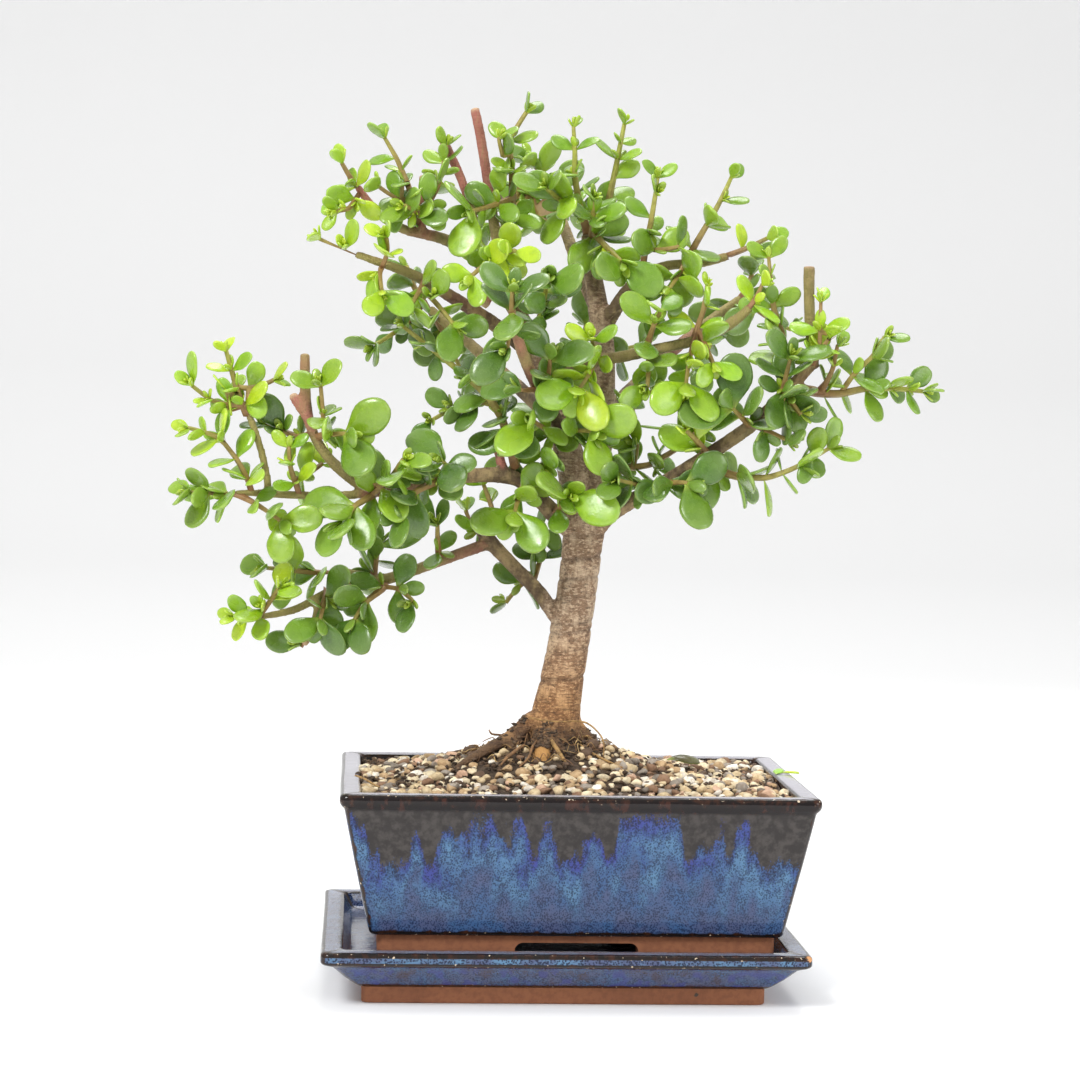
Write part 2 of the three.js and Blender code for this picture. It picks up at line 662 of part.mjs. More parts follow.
// A closed body through rounded rectangles, each level given as [height, half length, half width, corner]
function roundedStack(levels, arcSteps = 2) {
  const rings = levels.map(([z, halfX, halfY, corner]) => {
    const ring = [];
    for (let quarter = 0; quarter < 4; quarter += 1) {
      const signX = quarter === 0 || quarter === 3 ? 1 : -1;
      const signY = quarter < 2 ? 1 : -1;
      for (let step = 0; step <= arcSteps; step += 1) {
        const angle = ((quarter + step / arcSteps) * Math.PI) / 2;
        const x = signX * (halfX - corner) + corner * Math.cos(angle);
        const y = signY * (halfY - corner) + corner * Math.sin(angle);
        ring.push([x, y, z]);
      }
    }
    return ring;
  });
  return closedRings(rings);
}

// Joins rings of equally many points, counter-clockwise seen from above, and closes both ends
function closedRings(rings) {
  const count = rings[0].length;
  const positions = rings.flat(2);
  const index = [];
  for (let level = 0; level + 1 < rings.length; level += 1) {
    for (let i = 0; i < count; i += 1) {
      const a = level * count + i;
      const b = level * count + ((i + 1) % count);
      index.push(a, b, b + count, a, b + count, a + count);
    }
  }
  const top = (rings.length - 1) * count;
  for (let i = 1; i + 1 < count; i += 1) {
    index.push(0, i + 1, i, top, top + i, top + i + 1);
  }
  const geometry = new THREE.BufferGeometry();
  geometry.setAttribute("position", new THREE.Float32BufferAttribute(positions, 3));
  geometry.setIndex(index);
  return geometry;
}

// A round stem bent along a curve, its radius changing evenly between the radii given along it
function bentStem(curve, radii, sides, steps, grown = 0) {
  const geometry = new THREE.CylinderGeometry(1, 1, 1, sides, steps);
  const frames = curve.computeFrenetFrames(steps, false);
  const position = geometry.attributes.position;
  for (let i = 0; i < position.count; i += 1) {
    const along = position.getY(i) + 0.5;
    const step = Math.round(along * steps);
    const radius = evenly(radii, along) + grown;
    const point = curve.getPoint(along);
    point.addScaledVector(frames.binormals[step], position.getX(i) * radius);
    point.addScaledVector(frames.normals[step], position.getZ(i) * radius);
    position.setXYZ(i, point.x, point.y, point.z);
  }
  return solidFrom(geometry);
}

function evenly(values, along) {
  const place = Math.min(Math.max(along, 0), 1) * (values.length - 1);
  const low = Math.min(Math.floor(place), values.length - 2);
  return THREE.MathUtils.lerp(values[low], values[low + 1], place - low);
}

function curveThrough(path) {
  return new THREE.CatmullRomCurve3(path.map(vector), false, "catmullrom", 0.5);
}

// Saucer: a terracotta foot, a glazed skirt that slants out to a flat rim band, and a shallow basin
function makeSaucer() {
  const halfX = SAUCER_LENGTH / 2;
  const halfY = SAUCER_WIDTH / 2;
  const footX = halfX - SAUCER_FOOT_INSET;
  const footY = halfY - SAUCER_FOOT_INSET;
  const rimBottom = SAUCER_HEIGHT - SAUCER_RIM_THICKNESS;
  const outside = roundedStack([
    [0, footX, footY, 3],
    [SAUCER_FOOT_HEIGHT, footX, footY, 3],
    [SAUCER_FOOT_HEIGHT + 0.8, footX + 2, footY + 2, 3],
    [rimBottom - 1.4, halfX - 5, halfY - 5, 3],
    [rimBottom, halfX - 1, halfY - 1, 3],
    [rimBottom + 1, halfX, halfY, 3.4],
    [SAUCER_HEIGHT - 1.2, halfX, halfY, 3.4],
    [SAUCER_HEIGHT, halfX - 1.2, halfY - 1.2, 3],
  ]);
  const basin = roundedStack([
    [SAUCER_FLOOR, halfX - SAUCER_RIM_WIDTH - 3, halfY - SAUCER_RIM_WIDTH - 3, 4],
    [SAUCER_HEIGHT - 1, halfX - SAUCER_RIM_WIDTH, halfY - SAUCER_RIM_WIDTH, 4],
    [SAUCER_HEIGHT + 1, halfX - SAUCER_RIM_WIDTH, halfY - SAUCER_RIM_WIDTH, 4],
  ]);
  return solidFrom(outside).subtract(solidFrom(basin));
}

// The pot's hollow up to a height above its mouth, and smaller all round by a gap where soil fills it
function potHollow(gap, above) {
  const mouthX = POT_LENGTH / 2 - POT_WALL - gap;
  const mouthY = POT_WIDTH / 2 - POT_WALL - gap;
  const lean = POT_LEAN * 0.8;
  return roundedStack([
    [POT_INNER_FLOOR + gap, mouthX - lean - 2, mouthY - lean - 2, 5],
    [POT_INNER_FLOOR + 3, mouthX - lean, mouthY - lean, 5],
    [POT_TOP - 1, mouthX, mouthY, 5],
    [POT_TOP + above, mouthX, mouthY, 5],
  ]);
}

// Pot: walls that lean out to a thick rounded lip, a low foot with an arch in each side, and two drain holes
function makePot() {
  const halfX = POT_LENGTH / 2;
  const halfY = POT_WIDTH / 2;
  const lowX = halfX - POT_LEAN;
  const lowY = halfY - POT_LEAN;
  const footX = lowX - POT_FOOT_INSET;
  const footY = lowY - POT_FOOT_INSET;
  const footBottom = SAUCER_FLOOR + GAP;
  const body = roundedStack([
    [POT_GLAZE_BOTTOM, lowX - 2, lowY - 2, 3],
    [POT_GLAZE_BOTTOM + 1.6, lowX - 0.3, lowY - 0.3, 3],
    [POT_TOP - 6.4, halfX - 2, halfY - 2, 3],
    [POT_TOP - 4.6, halfX - 0.4, halfY - 0.4, 3.4],
    [POT_TOP - 1.6, halfX, halfY, 3.6],
    [POT_TOP, halfX - 1.8, halfY - 1.8, 3],
  ]);
  const foot = roundedStack([
    [footBottom, footX, footY, 3],
    [POT_GLAZE_BOTTOM + 2, footX, footY, 3],
  ]);
  const recess = roundedStack([
    [footBottom - 1, footX - POT_FOOT_THICKNESS, footY - POT_FOOT_THICKNESS, 3],
    [POT_RECESS, footX - POT_FOOT_THICKNESS, footY - POT_FOOT_THICKNESS, 3],
  ]);
  const archLong = new THREE.BoxGeometry(ARCH_WIDTH, POT_WIDTH, ARCH_HEIGHT * 2);
  const archShort = new THREE.BoxGeometry(POT_LENGTH, SIDE_ARCH_WIDTH, ARCH_HEIGHT * 2);
  archLong.translate(0, 0, footBottom);
  archShort.translate(0, 0, footBottom);
  let pot = solidFrom(body).add(solidFrom(foot)).subtract(solidFrom(potHollow(0, 1)));
  pot = pot.subtract(solidFrom(recess));
  pot = pot.subtract(solidFrom(archLong)).subtract(solidFrom(archShort));
  for (const side of [-1, 1]) {
    const drain = new THREE.CylinderGeometry(DRAIN_DIAMETER / 2, DRAIN_DIAMETER / 2, 20, 12);
    drain.rotateX(Math.PI / 2);
    drain.translate((side * DRAIN_SPACING) / 2, 0, POT_INNER_FLOOR);
    pot = pot.subtract(solidFrom(drain));
  }
  return pot;
}

// Drainage mesh: a strip of plastic sheet on the pot's floor, open in a small grid over each drain hole
function makeDrainageMesh(grown) {
  const width = DRAIN_DIAMETER + 2 * MESH_BORDER;
  const strip = new THREE.BoxGeometry(
    DRAIN_SPACING + width + 2 * grown, width + 2 * grown, MESH_THICKNESS + 2 * grown,
  );
  let sheet = solidFrom(strip);
  if (grown === 0) {
    for (const side of [-1, 1]) {
      for (const [column, row] of [[-1, -1], [-1, 1], [1, -1], [1, 1]]) {
        const opening = new THREE.BoxGeometry(MESH_OPENING, MESH_OPENING, MESH_THICKNESS * 2);
        opening.translate((side * DRAIN_SPACING + column * MESH_STEP) / 2, (row * MESH_STEP) / 2, 0);
        sheet = sheet.subtract(solidFrom(opening));
      }
    }
  }
  return sheet.translate([POT_OFFSET, 0, POT_INNER_FLOOR + GAP + MESH_THICKNESS / 2]);
}

// Soil level in the pot's own frame: heaped to the trunk, with humus round its foot, and lumpy with pebbles
function soilHeight(x, y, draw) {
  const fromTrunk = Math.hypot(x + POT_OFFSET - TRUNK_FOOT[0], SOIL_MOUND_NARROWING * (y - TRUNK_FOOT[1]));
  const mound = SOIL_MOUND * Math.exp(-((fromTrunk / SOIL_MOUND_REACH) ** 2));
  const humus = HUMUS_HEIGHT * Math.exp(-((fromTrunk / HUMUS_REACH) ** 2));
  return SOIL_EDGE + mound + humus + PEBBLE_RELIEF * (draw() - 0.5);
}

// Soil: a block with a pebbly top, cut to the pot's hollow
function makeSoil() {
  const draw = seededDraw(SOIL_SEED);
  const columns = Math.round(POT_LENGTH / PEBBLE_STEP);
  const rows = Math.round(POT_WIDTH / PEBBLE_STEP);
  const block = new THREE.BoxGeometry(POT_LENGTH, POT_WIDTH, 1, columns, rows, 1);
  const merged = joined(block);
  const position = merged.attributes.position;
  for (let i = 0; i < position.count; i += 1) {
    const top = soilHeight(position.getX(i), position.getY(i), draw);
    position.setZ(i, position.getZ(i) > 0 ? top : POT_INNER_FLOOR - 2);
  }
  return solidFrom(merged).intersect(solidFrom(potHollow(GAP, SOIL_MOUND + HUMUS_HEIGHT)));
}

function woodPiece({ radii, path, sides, steps }, grown = 0) {
  return bentStem(curveThrough(path), radii, sides, steps, grown);
}

function makeWood(grown) {
  return wasm.Manifold.union(Object.values(WOOD).map((piece) => woodPiece(piece, grown)));
}

// The way a stem runs at a share of its length, and two directions square to it
function stemFrame(stem, at) {
  const point = stem.curve.getPoint(at);
  const forward = stem.curve.getTangent(at);
  const front = stem.aside.clone().addScaledVector(forward, -stem.aside.dot(forward)).normalize();
  return { point, forward, front, beside: forward.clone().cross(front) };
}

function aroundStem({ front, beside }, degrees) {
  const angle = THREE.MathUtils.degToRad(degrees);
  return front.clone().multiplyScalar(Math.cos(angle)).addScaledVector(beside, Math.sin(angle));
}

// The axis that the stem leans to least, from which turns round it are counted
function leastLeaning(curve) {
  const tangents = [0, 0.25, 0.5, 0.75, 1].map((at) => curve.getTangent(at));
  const lean = (axis) => Math.max(...tangents.map((tangent) => Math.abs(tangent.dot(axis))));
  const axes = [vector([0, -1, 0]), vector([1, 0, 0]), vector([0, 0, 1])];
  return axes.reduce((best, axis) => (lean(axis) < lean(best) ? axis : best));
}

// Stems of a spray: the first leaves the wood, the others leave the first at the share of it that they give
function stemsOf([, footRadius, main, ...sides]) {
  const mainCurve = curveThrough(main.path);
  const stems = [{ ...main, curve: mainCurve, radii: [footRadius, STEM_TIP_RADIUS] }];
  for (const side of sides) {
    const path = [mainCurve.getPoint(side.at).toArray(), ...side.path];
    const radius = evenly([footRadius, STEM_TIP_RADIUS], side.at) * SIDE_STEM_SHARE;
    stems.push({ ...side, path, curve: curveThrough(path), radii: [radius, STEM_TIP_RADIUS] });
  }
  return stems.map((stem) => {
    const points = stem.path.map(vector);
    const length = points.slice(1).reduce((sum, point, i) => sum + point.distanceTo(points[i]), 0);
    const foot = LEAF_FOOT / length;
    const count = stem.leaves.length;
    const first = FIRST_PAIR / (count + 1);
    const pairs = stem.leaves.map((_, k) => {
      return THREE.MathUtils.lerp(first, 1 - foot, count > 1 ? k / (count - 1) : 1);
    });
    return { ...stem, foot, pairs, aside: leastLeaning(stem.curve) };
  });
}

// Where a leaf stands: turned round its stem, leaning out from it, and its face turned out to the light
function leafPlace(stem, at, turn, lean, length, drift) {
  const frame = stemFrame(stem, at);
  const { point, forward } = frame;
  const leanAngle = THREE.MathUtils.degToRad(lean);
  const along = forward.clone().multiplyScalar(Math.cos(leanAngle));
  along.addScaledVector(aroundStem(frame, turn), Math.sin(leanAngle));
  along.z -= LEAF_DROOP * Math.max(length - DROOP_FROM, 0);
  along.normalize();
  const outward = vector([point.x - CROWN_AXIS[0], point.y - CROWN_AXIS[1], 0]).normalize();
  const light = vector([0, point.y < CROWN_MIDDLE ? -FACE_SIDE : FACE_SIDE, FACE_ABOVE]).add(vector(drift));
  light.addScaledVector(outward, FACE_OUTWARD).addScaledVector(forward, FACE_FORWARD);
  const up = light.addScaledVector(along, -light.dot(along)).normalize();
  return { root: point, along, across: up.clone().cross(along), up };
}

// A leaf is broadest past its middle. Its four points round the blade there come first, then its end.
function leafPoints({ root, along, across, up }, length, room = 0) {
  const halfWidth = LEAF_HALF_WIDTH * length + room;
  const thickness = Math.max(LEAF_THICKNESS * length, LEAF_THINNEST) + 2 * room;
  const corner = (forward, sideways, rise) =>
    root
      .clone()
      .addScaledVector(along, forward * (length + room))
      .addScaledVector(across, sideways * halfWidth)
      .addScaledVector(up, rise * thickness);
  return [
    corner(LEAF_BROADEST, 1, 0),
    corner(LEAF_BROADEST, 0, LEAF_FACE),
    corner(LEAF_BROADEST, -1, 0),
    corner(LEAF_BROADEST, 0, -LEAF_BACK),
    corner(LEAF_END, LEAF_END_WIDTH, 0),
    corner(LEAF_END, -LEAF_END_WIDTH, 0),
  ];
}

// Triangles over a leaf's end, counted from the place of its first point
function leafEnd(place) {
  const triangles = [[1, 5, 4], [1, 4, 0], [1, 2, 5], [3, 4, 5], [3, 0, 4], [3, 5, 2]];
  return triangles.flat().map((corner) => corner + place);
}

function facetedSolid(points, index) {
  const geometry = new THREE.BufferGeometry();
  const coordinates = points.flatMap((point) => point.toArray());
  geometry.setAttribute("position", new THREE.Float32BufferAttribute(coordinates, 3));
  geometry.setIndex(index);
  return solidFrom(geometry);
}

// The space that a leaf takes, from a share of its length to its end, with room all round
function leafSpace(place, length, room, start) {
  const root = place.root.clone().addScaledVector(place.along, start * length);
  const index = leafEnd(1);
  for (let i = 0; i < 4; i += 1) {
    index.push(0, 1 + ((i + 1) % 4), 1 + i);
  }
  return facetedSolid([root, ...leafPoints(place, length, room)], index);
}

// Four root points and four blade points, joined with the least twist
function leafNeck(points, root, blade) {
  const twist = (shift) =>
    root.reduce((sum, corner, i) => sum + points[corner].distanceTo(points[blade[(i + shift) % 4]]), 0);
  const shift = [1, 2, 3].reduce((best, next) => (twist(next) < twist(best) ? next : best), 0);
  return root.flatMap((corner, i) => {
    const following = root[(i + 1) % 4];
    const here = blade[(i + shift) % 4];
    const beyond = blade[(i + shift + 1) % 4];
    return [corner, following, beyond, corner, beyond, here];
  });
}

// A four-sided stem. Each leaf is drawn out of one of its sides, so stem and leaves have one skin.
function leafyStem(stem, leaves) {
  const shares = [0, ...stem.pairs.flatMap((at) => [at - stem.foot, at + stem.foot])];
  const points = [];
  for (const at of shares) {
    const frame = stemFrame(stem, at);
    for (const corner of [-45, 45, 135, 225]) {
      const reach = evenly(stem.radii, at) * SQUARE_REACH;
      points.push(frame.point.clone().addScaledVector(aroundStem(frame, stem.turn + corner), reach));
    }
  }
  const end = points.length - 4;
  const index = [0, 2, 1, 0, 3, 2, end, end + 1, end + 2, end, end + 2, end + 3];
  for (let ring = 0; ring + 1 < shares.length; ring += 1) {
    for (let side = 0; side < 4; side += 1) {
      const low = ring * 4;
      const next = (side + 1) % 4;
      const root = [low + side, low + next, low + 4 + next, low + 4 + side];
      const leaf = ring % 2 === 1 ? leaves.get(`${(ring - 1) / 2} ${side}`) : undefined;
      if (leaf) {
        const place = points.length;
        points.push(...leafPoints(leaf.place, leaf.length));
        index.push(...leafNeck(points, root, [place, place + 1, place + 2, place + 3]), ...leafEnd(place));
      } else {
        index.push(root[0], root[1], root[2], root[0], root[2], root[3]);
      }
    }
  }
  return facetedSolid(points, index);
}

function crosses(solid, others) {
  const box = solid.boundingBox();
  const boxesTouch = (a, b) => a.min.every((low, axis) => low <= b.max[axis] && b.min[axis] <= a.max[axis]);
  return others.some((other) => boxesTouch(box, other.box) && !solid.intersect(other.solid).isEmpty());
}

function taken(owner, solid) {
  return { owner, solid, box: solid.boundingBox() };
}

// Finds each leaf of a stem a place where it touches nothing, and leaves out the few that have none
function placeLeaves(stem, owner, draw, others, own) {
  const leaves = new Map();
  stem.leaves.forEach((size, pair) => {
    const age = stem.leaves.length > 1 ? 1 - pair / (stem.leaves.length - 1) : 1;
    for (const half of [0, 2]) {
      const side = (pair + half) % 4;
      const turn = stem.turn + 90 * side + TURN_SPREAD * (draw() - 0.5);
      const lean = THREE.MathUtils.lerp(LEAN_YOUNG, LEAN_OLD, age) + LEAN_SPREAD * (draw() - 0.5);
      const length = size * (1 + LENGTH_SPREAD * draw());
      const drift = [draw(), draw(), draw()].map((value) => FACE_SPREAD * (value - 0.5));
      const dropped = draw() < LEAF_DROPPED;
      for (const [moreTurn, moreLean, scale] of dropped ? [] : LEAF_TRIES) {
        const long = length * scale;
        const place = leafPlace(stem, stem.pairs[pair], turn + moreTurn, lean + moreLean, long, drift);
        const space = leafSpace(place, long, GAP, 0);
        const blade = leafSpace(place, long, OWN_ROOM, FREE_FROM);
        if (!crosses(space, others.filter((other) => other.owner !== owner)) && !crosses(blade, own)) {
          leaves.set(`${pair} ${side}`, { place, length: long });
          others.push(taken(owner, space));
          own.push(taken(owner, blade));
          break;
        }
      }
    }
  });
  return leaves;
}

function makeSprays(woodRoom) {
  const others = [taken("wood", woodRoom)];
  const sprays = Object.entries(SPRAYS).map(([name, row]) => ({ name, tone: row[0], stems: stemsOf(row) }));
  for (const { name, stems } of sprays) {
    for (const stem of stems) {
      stem.bare = leafyStem(stem, new Map());
      others.push(taken(name, bentStem(stem.curve, stem.radii, 4, stem.path.length, GAP)));
    }
  }
  sprays.forEach(({ name, tone, stems }, order) => {
    const draw = seededDraw(FIRST_SEED + order * SEED_STEP);
    const own = stems.map((stem) => taken(name, stem.bare));
    const grown = stems.map((stem) => leafyStem(stem, placeLeaves(stem, name, draw, others, own)));
    const bodies = wasm.Manifold.union(grown).subtract(woodRoom).decompose();
    const largest = bodies.reduce((best, body) => (body.volume() > best.volume() ? body : best));
    addPiece(name, largest.simplify(SLIVER), finish(COLOURS[tone], LEAF_ROUGHNESS));
  });
}

// A leaf that has dropped: its lowest place over what it lies on, kept clear of it
function fallenLeaf({ at, turn, tilt, length }, below) {
  const along = vector([Math.cos(turn), Math.sin(turn), Math.sin(tilt)]).normalize();
  const across = vector([0, 0, 1]).cross(along).normalize();
  const place = { root: vector([...at, POT_TOP]), along, across, up: along.clone().cross(across) };
  const leaf = leafSpace(place, length, 0, 0);
  let height = SOIL_MOUND;
  while (leaf.translate([0, 0, height - GAP]).intersect(below).isEmpty()) {
    height -= GAP / 2;
  }
  return leaf.translate([0, 0, height]);
}

const woodRoom = makeWood(GAP);
const pot = makePot().translate([POT_OFFSET, 0, 0]);
const bed = makeSoil().translate([POT_OFFSET, 0, 0]).subtract(makeDrainageMesh(GAP));
const soil = bed.subtract(woodRoom).simplify(SLIVER);
addPiece("saucer", makeSaucer(), finish(COLOURS.glaze, GLAZE_ROUGHNESS));
addPiece("pot", pot, finish(COLOURS.glaze, GLAZE_ROUGHNESS));
addPiece("drainage_mesh", makeDrainageMesh(0), finish(COLOURS.mesh, DULL_ROUGHNESS));
addPiece("soil", soil, finish(COLOURS.soil, DULL_ROUGHNESS));
addPiece("trunk_and_limbs", makeWood(0).simplify(SLIVER), finish(COLOURS.wood, DULL_ROUGHNESS));
makeSprays(woodRoom);
addPiece("fallen_dark_leaf", fallenLeaf(FALLEN_DARK, soil), finish(COLOURS.dark, LEAF_ROUGHNESS));
addPiece("fallen_lime_leaf", fallenLeaf(FALLEN_LIME, pot), finish(COLOURS.lime, LEAF_ROUGHNESS));

export default bonsai;
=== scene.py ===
import json
import math
import random

import bmesh
import bpy
import numpy as np
from mathutils import Matrix, Vector, kdtree, noise
from mathutils.bvhtree import BVHTree


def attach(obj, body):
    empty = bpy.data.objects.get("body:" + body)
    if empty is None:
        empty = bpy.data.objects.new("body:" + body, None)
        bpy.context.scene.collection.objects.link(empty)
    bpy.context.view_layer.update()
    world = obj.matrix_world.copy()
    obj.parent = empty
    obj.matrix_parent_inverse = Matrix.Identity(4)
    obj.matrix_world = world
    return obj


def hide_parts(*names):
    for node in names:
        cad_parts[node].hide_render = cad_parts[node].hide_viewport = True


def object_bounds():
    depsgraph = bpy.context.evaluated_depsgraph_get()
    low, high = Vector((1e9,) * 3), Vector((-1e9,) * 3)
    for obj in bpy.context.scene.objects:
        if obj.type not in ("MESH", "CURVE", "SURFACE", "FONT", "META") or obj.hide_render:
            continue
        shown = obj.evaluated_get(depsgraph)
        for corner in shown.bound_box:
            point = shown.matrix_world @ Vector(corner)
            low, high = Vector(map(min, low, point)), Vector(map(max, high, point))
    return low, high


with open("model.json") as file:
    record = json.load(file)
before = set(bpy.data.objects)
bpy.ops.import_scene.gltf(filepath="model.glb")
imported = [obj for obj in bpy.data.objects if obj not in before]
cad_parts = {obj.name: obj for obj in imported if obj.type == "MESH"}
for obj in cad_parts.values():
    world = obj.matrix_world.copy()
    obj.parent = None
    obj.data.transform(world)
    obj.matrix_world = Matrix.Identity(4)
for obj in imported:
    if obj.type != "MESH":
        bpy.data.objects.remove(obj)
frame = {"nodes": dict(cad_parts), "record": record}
solids_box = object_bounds()

# Camera
# It stands a little left of the pot and over a metre away, level with the middle of the crown, and looks
# slightly down, turned and rolled as the picture of the tree was taken.
EYE = Vector((-0.0898, -1.1840, 0.2440))
YAW, PITCH, ROLL = (math.radians(angle) for angle in (3.85, 2.55, 1.19))
SENSOR = 36
LENS = 90.83

ahead = Vector((math.sin(YAW) * math.cos(PITCH), math.cos(YAW) * math.cos(PITCH), -math.sin(PITCH)))
level = Vector((math.cos(YAW), -math.sin(YAW), 0))
right = math.cos(ROLL) * level + math.sin(ROLL) * level.cross(ahead)
above = right.cross(ahead)


def new_object(name, data):
    made = bpy.data.objects.new(name, data)
    bpy.context.collection.objects.link(made)
    return made


camera = new_object("camera", bpy.data.cameras.new("camera"))
camera.data.sensor_width = SENSOR
camera.data.lens = LENS
camera.matrix_world = Matrix.Translation(EYE) @ Matrix((right, above, -ahead)).transposed().to_4x4()
bpy.context.scene.camera = camera

# Studio
# A white sweep of paper, flat under the saucer and curving up behind, with a broad soft lamp on the left
# and a weaker one on the right, and pale light from all round.
PAPER = (0.94, 0.94, 0.94, 1)
SKY = (1.0, 1.0, 1.0, 1)
SKY_STRENGTH = 0.66
LAMPS = {
    "key_lamp": {"place": (-0.8, -1.1, 1.25), "size": 0.50, "watts": 21},
    "fill_lamp": {"place": (1.2, -1.1, 0.7), "size": 0.8, "watts": 8},
    "top_lamp": {"place": (0.1, 0.35, 1.5), "size": 0.8, "watts": 15},
}
LAMP_AIM = Vector((0, 0, 0.2))
SWEEP_HALF_WIDTH = 4.0
SWEEP_PROFILE = [(-3.0, 0.0), (1.4, 0.0), (1.9, 0.07), (2.3, 0.3), (2.55, 0.75), (2.6, 1.3), (2.6, 3.5)]


def mesh_piece(name, points, faces, materials):
    """An object from points and faces, shaded smooth, with its materials in order."""
    mesh = bpy.data.meshes.new(name)
    mesh.from_pydata([tuple(point) for point in points], [], [tuple(face) for face in faces])
    mesh.shade_smooth()
    for material in materials:
        mesh.materials.append(material)
    return new_object(name, mesh)


def adjusted(made, **settings):
    """A thing just made, with its settings."""
    for name, value in settings.items():
        setattr(made, name, value)
    return made


def add(tree, kind, inputs=(), **settings):
    """A shader node with its settings, and its inputs either linked or set."""
    node = adjusted(tree.nodes.new(kind), **settings)
    for socket, value in dict(inputs).items():
        if isinstance(value, bpy.types.NodeSocket):
            tree.links.new(value, node.inputs[socket])
        else:
            node.inputs[socket].default_value = value
    return node


def after(kind, inputs, **settings):
    """A shader node in the tree that its linked inputs come from."""
    tree = next(value.id_data for value in inputs.values() if isinstance(value, bpy.types.NodeSocket))
    return add(tree, kind, inputs, **settings)


def new_material(name, surface):
    """A material with a Principled shader, whose inputs the function surface(tree) gives."""
    material = bpy.data.materials.new(name)
    material.use_nodes = True
    tree = material.node_tree
    tree.nodes.clear()
    shader = add(tree, "ShaderNodeBsdfPrincipled", surface(tree))
    add(tree, "ShaderNodeOutputMaterial", {"Surface": shader.outputs[0]})
    return material


paper = new_material("paper", lambda tree: {"Base Color": PAPER, "Roughness": 0.9})
sweep_points = [(x, y, z) for y, z in SWEEP_PROFILE for x in (-SWEEP_HALF_WIDTH, SWEEP_HALF_WIDTH)]
sweep_faces = [(2 * i, 2 * i + 1, 2 * i + 3, 2 * i + 2) for i in range(len(SWEEP_PROFILE) - 1)]
sweep = mesh_piece("paper_sweep", sweep_points, sweep_faces, [paper])

for name, lamp in LAMPS.items():
    light = adjusted(bpy.data.lights.new(name, "AREA"), size=lamp["size"], energy=lamp["watts"])
    holder = adjusted(new_object(name, light), location=lamp["place"])
    holder.rotation_euler = (LAMP_AIM - holder.location).to_track_quat("-Z", "Y").to_euler()

bpy.context.scene.view_settings.view_transform = "Standard"
world = bpy.data.worlds.new("white_room")
world.use_nodes = True
world.node_tree.nodes["Background"].inputs["Color"].default_value = SKY
world.node_tree.nodes["Background"].inputs["Strength"].default_value = SKY_STRENGTH
bpy.context.scene.world = world

# Saucer
# One tray of fired clay: a bare terracotta foot, a skirt that slants out, a flat rim band and a shallow
# basin. Blue and black glaze runs over all but the foot, and breaks to brown where it thins at an edge.
MM = 0.001
SAUCER_HALF = (101.7, 76.9)
CORNER = 3.2
# Height, inset from the outer size, how thin the glaze is, and whether the clay is bare
SAUCER_LEVELS = [
    (17.3, 40, 0, 0), (17.3, 15, 0, 0), (17.4, 12.8, 0, 0), (18.2, 11.6, 0.1, 0), (22.9, 9.3, 0.3, 0),
    (23.8, 8.9, 0.8, 0), (24.1, 8.0, 0.5, 0), (24.1, 5.0, 0, 0), (24.1, 2.4, 0.1, 0), (24.0, 1.3, 0.8, 0),
    (23.7, 0.6, 1, 0), (23.1, 0.15, 1, 0), (22.3, 0, 1, 0), (21.9, 0, 0.2, 0), (20.2, 0, 0.05, 0),
    (19.7, 0.1, 0.8, 0), (19.0, 0.6, 1, 0), (18.5, 1.4, 1, 0), (17.8, 3.2, 0.2, 0), (17.0, 5.0, 0, 0),
    (12.0, 9.9, 0, 0), (8.8, 13.6, 0.2, 0), (8.0, 14.7, 0.9, 0), (7.4, 15.6, 1, 0), (7.0, 16.6, 1, 0),
    (6.9, 17.1, 1, 1), (6.0, 17.1, 0, 1), (0.7, 17.1, 0, 1), (0.2, 17.4, 0, 1), (0.0, 18.1, 0, 1),
    (0.0, 45, 0, 1),
]
SAUCER_SEED = 3.0
CORNER_STEPS = 6
SIDE_COUNTS = (48, 36)
# How far the sides stray from straight, and over what length and height
HAND_WOBBLE = 0.22
WOBBLE_LENGTH = 45
WOBBLE_HEIGHT = 30
THIN_CORNER = 0.75

BLACK_GLAZE = (0.010, 0.007, 0.006, 1)
BROWN_GLAZE = (0.050, 0.017, 0.008, 1)
# Cream of the painted glints on thin glaze edges
CREAM_GLINT = (0.620, 0.500, 0.360, 1)
BLUE_GLAZE = (0.038, 0.094, 0.218, 1)
PALE_BLUE_GLAZE = (0.088, 0.198, 0.330, 1)
VIOLET_GLAZE = (0.034, 0.046, 0.235, 1)
DUSKY_GLAZE = (0.062, 0.080, 0.165, 1)
NAVY_GLAZE = (0.003, 0.007, 0.030, 1)
# Pale lilac painted on glaze that faces up, as a reflection of the white room
LILAC_REFLECTION = (0.400, 0.385, 0.440, 1)
TERRACOTTA = (0.300, 0.115, 0.052, 1)
TERRACOTTA_DARK = (0.180, 0.065, 0.032, 1)
# Heights in metres between which the rim band's glaze gives way to the skirt's
SKIRT_TOP = (0.0185, 0.0150)
# One chip at the rim's front right corner, and one spot on the foot
CHIP_AT = (0.1002, -0.0757, 0.0232)
CHIP_REACH = 0.0019
CHIP_ORANGE = (0.620, 0.300, 0.120, 1)
SPOT_AT = (0.0554, -0.0598, 0.0044)
SPOT_REACH = 0.0011
SPOT_GREY = (0.060, 0.048, 0.036, 1)


def mix(share, first, second, mode="MIX"):
    inputs = {0: share, 6: first, 7: second}
    return after("ShaderNodeMix", inputs, data_type="RGBA", blend_type=mode).outputs[2]


def maths(operation, first, second=0.0):
    return after("ShaderNodeMath", {0: first, 1: second}, operation=operation).outputs[0]


def plus(first, second):
    return maths("ADD", first, second)


def times(first, second):
    return maths("MULTIPLY", first, second)


